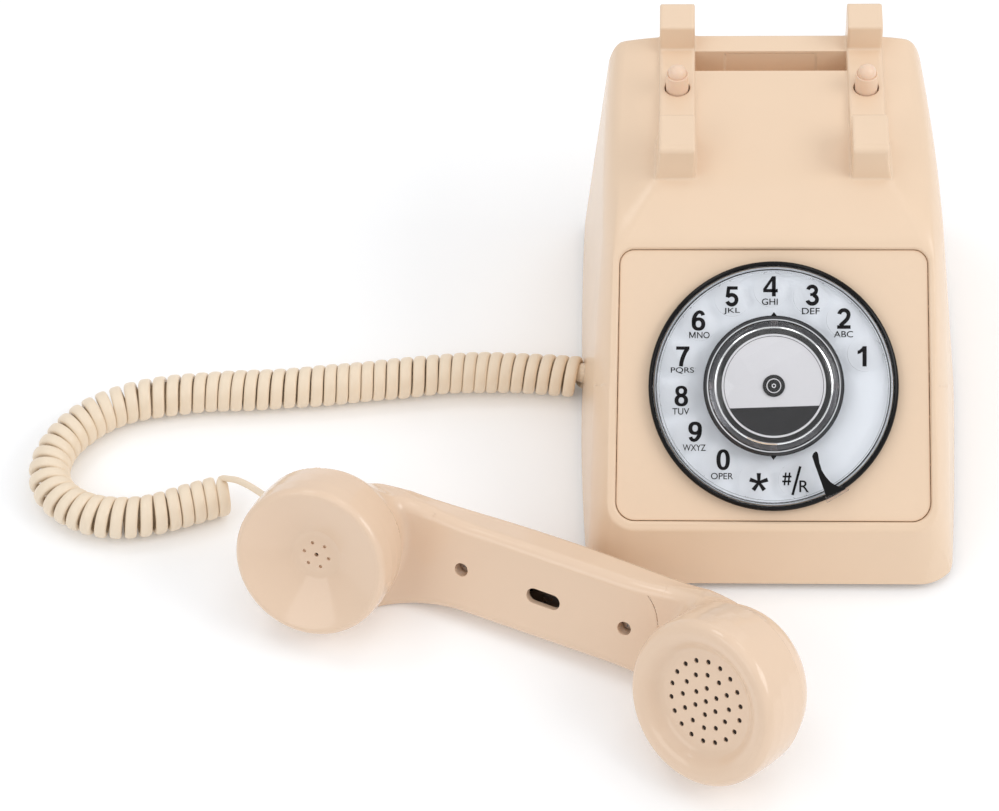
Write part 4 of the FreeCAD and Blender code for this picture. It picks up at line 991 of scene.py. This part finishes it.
digits = flat_piece("dial_numbers", polys, DIAL, 0.81, "root", M_PRINT_AND_SHADE)


def letters(groups, m, z, body, mat, name):
    V, Fc = [], []
    for txt, (x0, y0, w) in groups.items():
        cu = bpy.data.curves.new("t", "FONT")
        cu.body = txt
        cu.offset = 0.006
        ob = bpy.data.objects.new("t", cu)
        sc.collection.objects.link(ob)
        bpy.context.view_layer.update()
        me = bpy.data.meshes.new_from_object(ob)
        co = np.array([v.co[:2] for v in me.vertices])
        a_, b_ = co.min(0), co.max(0)
        hh = 4.3 if txt == "R" else 2.35
        co = (co - (a_ + b_) / 2) / (b_ - a_) * np.array([w, hh]) + np.array([x0, y0])
        o = len(V)
        V += [(x, y, z) for x, y in co]
        Fc += [tuple(o + i for i in pl.vertices) for pl in me.polygons]
        bpy.data.objects.remove(ob)
        bpy.data.curves.remove(cu)
        bpy.data.meshes.remove(me)
    ob = new_mesh(name, apply(m, V), Fc, body, smooth=False, mat=mat)
    so = ob.modifiers.new("s", "SOLIDIFY")
    so.thickness = 0.00005
    so.offset = 1.0
    dg = bpy.context.evaluated_depsgraph_get()
    me2 = bpy.data.meshes.new_from_object(ob.evaluated_get(dg))
    ob.modifiers.clear()
    ob.data = me2
    return ob


lets = letters(LETTER_AT, DIAL, 0.815, "root", M_PRINT_AND_SHADE, "dial_letters")

# finger stop: black blade with a clear foot
STOP = DIAL @ basis((math.cos(math.radians(-58)), math.sin(math.radians(-58)), 0), (-math.sin(math.radians(-58)), math.cos(math.radians(-58)), 0), (0, 0, 1), (0, 0, 0))


def poly_d(x, y, pts):
    d = np.full(x.shape, 1e9)
    s = np.ones(x.shape)
    m = len(pts)
    for i in range(m):
        ax_, ay_ = pts[i]
        bx_, by_ = pts[(i + 1) % m]
        ex, ey = bx_ - ax_, by_ - ay_
        wx, wy = x - ax_, y - ay_
        t = np.clip((wx * ex + wy * ey) / (ex * ex + ey * ey), 0, 1)
        d = np.minimum(d, (wx - ex * t) ** 2 + (wy - ey * t) ** 2)
        c1, c2, c3 = y >= ay_, y < by_, ex * wy > ey * wx
        flip = (c1 & c2 & c3) | (~c1 & ~c2 & ~c3)
        s = np.where(flip, -s, s)
    return s * np.sqrt(d)


BLADE = [(28.3, 0.35), (28.45, -0.8), (29.2, -1.75), (32.5, -2.55), (36.0, -3.3), (40.0, -4.15), (43.4, -4.95), (44.6, -5.25), (45.75, 2.45), (45.3, 2.4), (44.3, 1.35), (43.15, 0.38), (41.9, -0.42), (40.5, -1.0),
         (38.0, -1.42), (35.4, -1.42), (32.6, -0.7), (30.8, 0.05), (29.5, 0.6), (28.8, 0.68)]


def blade_f(p):
    return rmax(poly_d(p[:, 0], p[:, 1], BLADE), np.abs(p[:, 2] - 7.1) - 0.6, 0.3)


def foot_f(p):
    o = poly_d(p[:, 0], p[:, 1], [(44.2, -5.5), (46.5, -5.9), (46.7, 3.3), (45.4, 3.0)])
    r = np.sqrt(p[:, 0] ** 2 + p[:, 1] ** 2)
    o = np.maximum(o, np.minimum(4.15 - p[:, 2], 45.8 - r))
    return rmax(o, np.abs(p[:, 2] - 3.2) - 3.2, 0.25)


blade = field_object("finger_stop_blade", blade_f, (27.4, -6.4, 6.1), (46.8, 3.6, 8.1), 0.22, "root", M_BLACK, to=STOP)
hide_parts("finger_stop")
foot = field_object("finger_stop_foot", foot_f, (43.4, -7, -0.6), (47.6, 4.4, 7.0), 0.25, "root", M_TAB, to=STOP)
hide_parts("finger_stop")

# ------------------------------------------------------------------ plungers
for sgn, nm in ((-1, "plunger_left"), (1, "plunger_right")):
    prof = [(0, 92.4), (5.4, 92.4), (5.6, 92.6), (5.6, 94.0), (5.4, 94.2), (4.25, 94.2), (4.25, 115.7), (4.2, 115.9), (4.08, 116.05), (3.85, 116.1), (3.6, 116.0), (3.5, 115.9)]
    prof += [(3.46 * math.cos(math.radians(a_)), 116.35 + 3.46 * math.sin(math.radians(a_))) for a_ in range(0, 90, 6)] + [(0, 119.81)]
    pl = lathe("hook_button_" + nm[8:], prof, basis((1, 0, 0), (0, 1, 0), (0, 0, 1), (sgn * PRONG_X, 154.0, 0)), nm, 48, M_PLUNGER)
    tip = lathe("hook_tip_" + nm[8:], [(0, 87.98), (1.1, 88.3), (1.9, 89.1), (2.2, 90.2), (2.2, 92.42), (0, 92.42)], basis((1, 0, 0), (0, 1, 0), (0, 0, 1), (sgn * PRONG_X, 154.0, 0)), nm, 32, M_PLUNGER)
    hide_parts(nm)

# ------------------------------------------------------------------ handset
def _n(v):
    v = np.array(v, float)
    return v / np.linalg.norm(v)


HX = _n((0.91370, -0.40640, 0.00660))
HZ = np.array([-0.36360, -0.80970, 0.46060])
HZ = _n(HZ - HX * (HZ @ HX))
HY = np.cross(HZ, HX)
HO = np.array([-168.25, -17.84, 37.19]) + HX * 76.8
HS = basis(HX, HY, HZ, HO)


def cup_frame(end):
    a = math.radians(6.8 if end < 0 else -15.5)
    return basis((math.cos(a), 0, -math.sin(a)), (0, 1, 0), (math.sin(a), 0, math.cos(a)), (end * 76.8, 0, 0))


CM, CE = cup_frame(-1), cup_frame(1)


def local(m, p):
    return (p - m[:3, 3]) @ m[:3, :3]


def profile_table(pts, r1):
    """smooth height over radius through points, kept as a fine table"""
    xs = np.array([p[0] for p in pts], float)
    ys = np.array([p[1] for p in pts], float)
    m = np.gradient(ys, xs)
    t = np.linspace(0, r1, 1600)
    k = np.clip(np.searchsorted(xs, t, side="right") - 1, 0, len(xs) - 2)
    hh = xs[k + 1] - xs[k]
    s = np.clip((t - xs[k]) / hh, 0, 1)
    v = (2 * s ** 3 - 3 * s ** 2 + 1) * ys[k] + (s ** 3 - 2 * s ** 2 + s) * hh * m[k] + (-2 * s ** 3 + 3 * s ** 2) * ys[k + 1] + (s ** 3 - s ** 2) * hh * m[k + 1]
    ker = np.hanning(25)
    ker /= ker.sum()
    v = np.convolve(np.pad(v, 12, mode="edge"), ker, "valid")
    return t, v, np.gradient(v, t)


# the dished fronts of the two cups, as height over radius from the dish's centre out over the rim
TM = profile_table([(0, -8.3), (4, -8.3), (8.8, -8.3), (9.3, -8.2), (10.0, -7.86), (14.0, -5.93), (18.0, -4.0), (22.0, -2.07), (24.6, -0.82), (25.4, -0.46), (26.2, -0.16), (27.0, 0.0), (28.0, -0.12), (29.5, -0.5), (31.0, -1.0)], 31.0)
TE_ = profile_table([(0, -4.9), (8, -4.88), (14, -4.85), (17.0, -4.8), (18.4, -4.6), (19.6, -4.0), (20.8, -3.0), (21.9, -1.95), (22.9, -1.15), (24.0, -0.52), (25.2, -0.12), (26.4, 0.0), (27.8, -0.22), (29.2, -0.75), (31.0, -1.7)], 31.0)


def cup_d(q, R, depth, tab):
    r = np.sqrt(q[:, 0] ** 2 + q[:, 1] ** 2)
    z = q[:, 2]
    rw = R + np.interp(z, [-depth, -depth + 13, -20.0, -14.0, -8.0, -3.0, 0.0, 5.0], [-1.5, -0.45, 0.35, 0.72, 0.80, 0.45, 0.05, 0.05])
    wall = r - rw
    bot = -z - depth + 0.9 * np.clip(r / (R - 9), 0, 1.4) ** 2
    sl = np.interp(r, tab[0], tab[2])
    top = (z - np.interp(r, tab[0], tab[1])) / np.sqrt(1 + sl * sl)
    return rmax(rmax(wall, bot, 12.0), top, 2.0)


def circle3(a, b, c):
    (x1, y1), (x2, y2), (x3, y3) = a, b, c
    d = 2 * (x1 * (y2 - y3) + x2 * (y3 - y1) + x3 * (y1 - y2))
    ux = ((x1 ** 2 + y1 ** 2) * (y2 - y3) + (x2 ** 2 + y2 ** 2) * (y3 - y1) + (x3 ** 2 + y3 ** 2) * (y1 - y2)) / d
    uy = ((x1 ** 2 + y1 ** 2) * (x3 - x2) + (x2 ** 2 + y2 ** 2) * (x1 - x3) + (x3 ** 2 + y3 ** 2) * (x2 - x1)) / d
    return ux, uy, math.hypot(x1 - ux, y1 - uy)


_EA = circle3((58, -52.0), (77, -42.0), (88, -26.0))
_FC = (46.0, -34.8 + 26.0, 26.0)
_F69 = _FC[1] - math.sqrt(_FC[2] ** 2 - 23.0 ** 2)


def handle_d(p):
    x, y, z = p[:, 0], p[:, 1], p[:, 2]
    ax = np.abs(x)
    yc = y - 0.5 - 0.016 * np.clip(x, -60.0, 60.0)
    back = np.sqrt(x * x + (z - 337.0) ** 2) - 393.9
    end = np.sqrt((ax - _EA[0]) ** 2 + (z - _EA[1]) ** 2) - _EA[2]
    end = np.where(ax < 50, back, end)
    bk = smax(back, end, 2.0)
    # the front face runs up to the cups in a hollow curve
    fc = _FC[1] - np.sqrt(np.maximum(_FC[2] ** 2 - (ax - _FC[0]) ** 2, 1.0))
    front = (z - np.where(ax < 46.0, -34.8, np.where(ax > 69.0, _F69, fc))) * np.where(ax > 46, 0.85, 1.0)
    # near the cups the front half widens into them
    flare = np.clip((ax - 30.0) / 30.0, 0, 1) ** 1.8 * np.clip((z + 52.0) / 12.0, 0, 1)
    w = np.abs(yc) - 17.7 - flare * np.where(x > 0, 4.0, np.where(yc < 0, 9.0, 3.0))
    d = rmax(bk, w, 8.5)
    return rmax(d, front, 4.2)


def handset_body(p):
    d = handle_d(p)
    qm, qe = local(CM, p), local(CE, p)
    qm[:, 1] += 0.05 * np.minimum(qm[:, 2] + 3.0, 0.0)
    qe[:, 1] += 0.10 * np.minimum(qe[:, 2] + 3.0, 0.0)
    cm = cup_d(qm, 28.4, 33.0, TM)
    ce = cup_d(qe, 29.9, 34.0, TE_)
    d = rmin(rmin(d, cm, 6.0), ce, 7.0)
    # it rests on the table
    return rmax(d, 0.25 - (HO[2] + p @ np.array([HX[2], HY[2], HZ[2]])), 1.5)


def rect_d(x, y, hx, hy, r, cx=0.0):
    du, dv = np.abs(x - cx) - (hx - r), np.abs(y) - (hy - r)
    return np.sqrt(np.maximum(du, 0) ** 2 + np.maximum(dv, 0) ** 2) + np.minimum(np.maximum(du, dv), 0) - r


def handset_shell(p):
    x, y, z = p[:, 0], p[:, 1], p[:, 2]
    d = handset_body(p)
    qm, qe = local(CM, p), local(CE, p)
    bm = np.maximum(np.sqrt(qm[:, 0] ** 2 + qm[:, 1] ** 2) - 24.6, -25.0 - qm[:, 2])
    be = np.maximum(np.sqrt(qe[:, 0] ** 2 + qe[:, 1] ** 2) - 25.4, -26.0 - qe[:, 2])
    d = np.maximum(np.maximum(d, -bm), -be)
    pocket = np.maximum(rect_d(x, y, 45.6, 14.3, 5.0), -(z + 38.0))
    d = np.maximum(d, -pocket)
    # the one visible stretch of the cover's seam
    seam = np.maximum(np.maximum(np.abs(np.sqrt((x - 30.0) ** 2 + (y - 3.0) ** 2) - 16.6) - 0.16, -(z + 36.2)), np.maximum(x * -1 + 40.5, 5.0 - y))
    d = np.maximum(d, -seam)
    cav = np.minimum(np.maximum(rect_d(x, y, 44.0, 12.5, 4.0), -(z + 50.5)), np.maximum(rect_d(x, y, 35.0, 9.0, 4.0), -(z + 52.4)))
    posts = np.minimum(np.sqrt((x + 31.3) ** 2 + y * y), np.sqrt((x - 34.3) ** 2 + y * y)) - 3.6
    cav = np.maximum(cav, -np.maximum(posts, z + 44.1))
    d = np.maximum(d, -cav)
    g = local(GL, p)
    return np.maximum(d, -np.maximum(np.sqrt(g[:, 0] ** 2 + g[:, 1] ** 2) - 2.6, np.maximum(-1.0 - g[:, 2], g[:, 2] - 12.0)))


def cover_f(p):
    x, y, z = p[:, 0], p[:, 1], p[:, 2]
    d = np.maximum(handset_body(p) - 0.02, rect_d(x, y, 46.30, 15.0, 5.6))
    d = np.maximum(d, -(z + 37.9))
    seam = np.maximum(np.maximum(np.abs(np.sqrt((x - 30.0) ** 2 + (y - 3.0) ** 2) - 16.6) - 0.16, -(z + 36.2)), np.maximum(x * -1 + 40.5, 5.0 - y))
    d = np.maximum(d, -seam)
    bosses = np.maximum(np.minimum(np.sqrt((x + 31.3) ** 2 + y * y), np.sqrt((x - 34.3) ** 2 + y * y)) - 4.4, np.maximum(-(z + 43.9), z + 36.0))
    d = np.minimum(d, bosses)
    rr = np.minimum(np.sqrt((x + 31.3) ** 2 + y * y), np.sqrt((x - 34.3) ** 2 + y * y))
    d = rmax(d, -np.maximum(rr - 2.6, -(z + 42.0)), 0.2)
    d = np.maximum(d, -(rr - 1.5))
    return rmax(d, -rect_d(x, y, 6.6, 2.9, 2.85, 1.9), 0.3)


# frame of the cord gland in the mouthpiece cup, given in the handset's own frame
_te = np.array(TAIL_ROUTE[-1]) - HO
_td = _n(np.array(TAIL_ROUTE[-1]) - np.array(TAIL_ROUTE[-2]))
_te = np.array([_te @ HX, _te @ HY, _te @ HZ])
_td = np.array([_td @ HX, _td @ HY, _td @ HZ])
_u = _n(np.cross(_td, (0, 0, 1)))
GL = basis(_u, np.cross(_td, _u), _td, _te)

HG = 0.75
shell = field_object("handset_body", handset_shell, (-113, -32.5, -58.5), (114, 32.5, 9.0), HG, "handset", M_HAND, to=HS)
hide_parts("handset_shell")
cover = field_object("handset_cover_plate", cover_f, (-48, -16.5, -45.5), (48, 16.5, -33.5), 0.5, "handset", M_HAND, to=HS)
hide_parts("handset_cover")


def screw_f(p):
    x, y, z = p[:, 0], p[:, 1], p[:, 2]
    r = np.sqrt(x * x + y * y)
    d = rmax(r - 2.35, z + 39.2 + 0.05 * r * r, 0.3)
    d = np.maximum(d, -(z + 42.0))
    cross = np.minimum(np.maximum(np.abs(x) - 0.34, np.abs(y) - 1.35), np.maximum(np.abs(y) - 0.34, np.abs(x) - 1.35))
    d = np.maximum(d, -np.maximum(cross, -(z + 40.6)))
    return np.minimum(d, np.maximum(r - 1.2, np.maximum(z + 41.9, -(z + 51.4))))


for i, xs in enumerate((-31.3, 34.3)):
    rot = 0.5 + 0.7 * i
    m_ = HS @ basis((math.cos(rot), math.sin(rot), 0), (-math.sin(rot), math.cos(rot), 0), (0, 0, 1), (xs, 0, 0))
    s_ = field_object("cover_screw_%d" % (i + 1), screw_f, (-2.8, -2.8, -52), (2.8, 2.8, -38.4), 0.22, "handset", M_STEEL, to=m_)
    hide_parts("handset_screws")


def mouth_f(p):
    x, y, z = p[:, 0], p[:, 1], p[:, 2]
    r = np.sqrt(x * x + y * y)
    g, s = np.interp(r, TM[0], TM[1]), np.interp(r, TM[0], TM[2])
    d = (z - g) / np.sqrt(1 + s * s)
    d = np.maximum(np.maximum(d - 0.015, -(d + 1.9)), r - 25.4)
    a = np.arctan2(y, x) - math.radians(57.9)
    t = a - np.round(a / (math.pi / 3)) * (math.pi / 3)
    ring = np.maximum(np.sqrt((r * np.cos(t) - 4.78) ** 2 + (r * np.sin(t)) ** 2) - 0.62, -(z + 9.3))
    d = rmax(d, -ring, 0.12)
    return rmax(d, -(r - 0.75), 0.12)


def ear_f(p):
    x, y, z = p[:, 0], p[:, 1], p[:, 2]
    r = np.sqrt(x * x + y * y)
    g, s = np.interp(r, TE_[0], TE_[1]), np.interp(r, TE_[0], TE_[2])
    d = (z - g) / np.sqrt(1 + s * s)
    d = np.maximum(np.maximum(d - 0.015, -(d + 1.6)), r - 26.2)
    hole = r - 0.92
    for n_, rr in ((6, 4.98), (12, 9.96), (18, 14.93)):
        a = np.arctan2(y, x) + math.radians(21.0)
        st = 2 * math.pi / n_
        t = a - np.round(a / st) * st
        hole = np.minimum(hole, np.sqrt((r * np.cos(t) - rr) ** 2 + (r * np.sin(t)) ** 2) - 0.92)
    return rmax(d, -hole, 0.15)


mouth = field_object("mouthpiece_dish", mouth_f, (-27, -27, -11.5), (27, 27, 1.0), 0.45, "handset", M_HAND, to=HS @ CM)
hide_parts("mouthpiece_cap")
ear = field_object("earpiece_dish", ear_f, (-28, -28, -6.5), (28, 28, 1.0), 0.42, "handset", M_HAND, to=HS @ CE)
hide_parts("earpiece_cap")

# ------------------------------------------------------------------ finish of the parts that keep their own shape
KEEP = {"base_pan": M_GREY, "rubber_feet": M_RUBBER, "pan_screws": M_STEEL, "number_plate": M_WHITE, "dial_bush": M_BRASS, "dial_frame": M_GREY,
        "dial_screws": M_STEEL, "return_spring": M_STEEL, "pulse_sensor": M_BOARD, "hook_pin": M_STEEL, "hook_bracket": M_STEEL,
        "bracket_screws": M_STEEL, "hook_spring": M_STEEL, "hook_switch": M_BLACK, "main_board": M_BOARD, "board_screws": M_STEEL,
        "ringer_speaker": M_BLACK, "line_jack": M_CLEARISH, "base_cord_gland": M_CORD, "dial_shaft": M_STEEL, "hub_screw": M_STEEL,
        "pulse_disc": M_GREY, "hook_lever": M_GREY, "handset_cord_gland": M_CORD, "handset_weight": M_STEEL, "microphone": M_TRANS, "receiver": M_TRANS}
for nm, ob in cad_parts.items():
    mat = KEEP.get(nm, M_HOUSE)
    ob.data.materials.clear()
    ob.data.materials.append(mat)
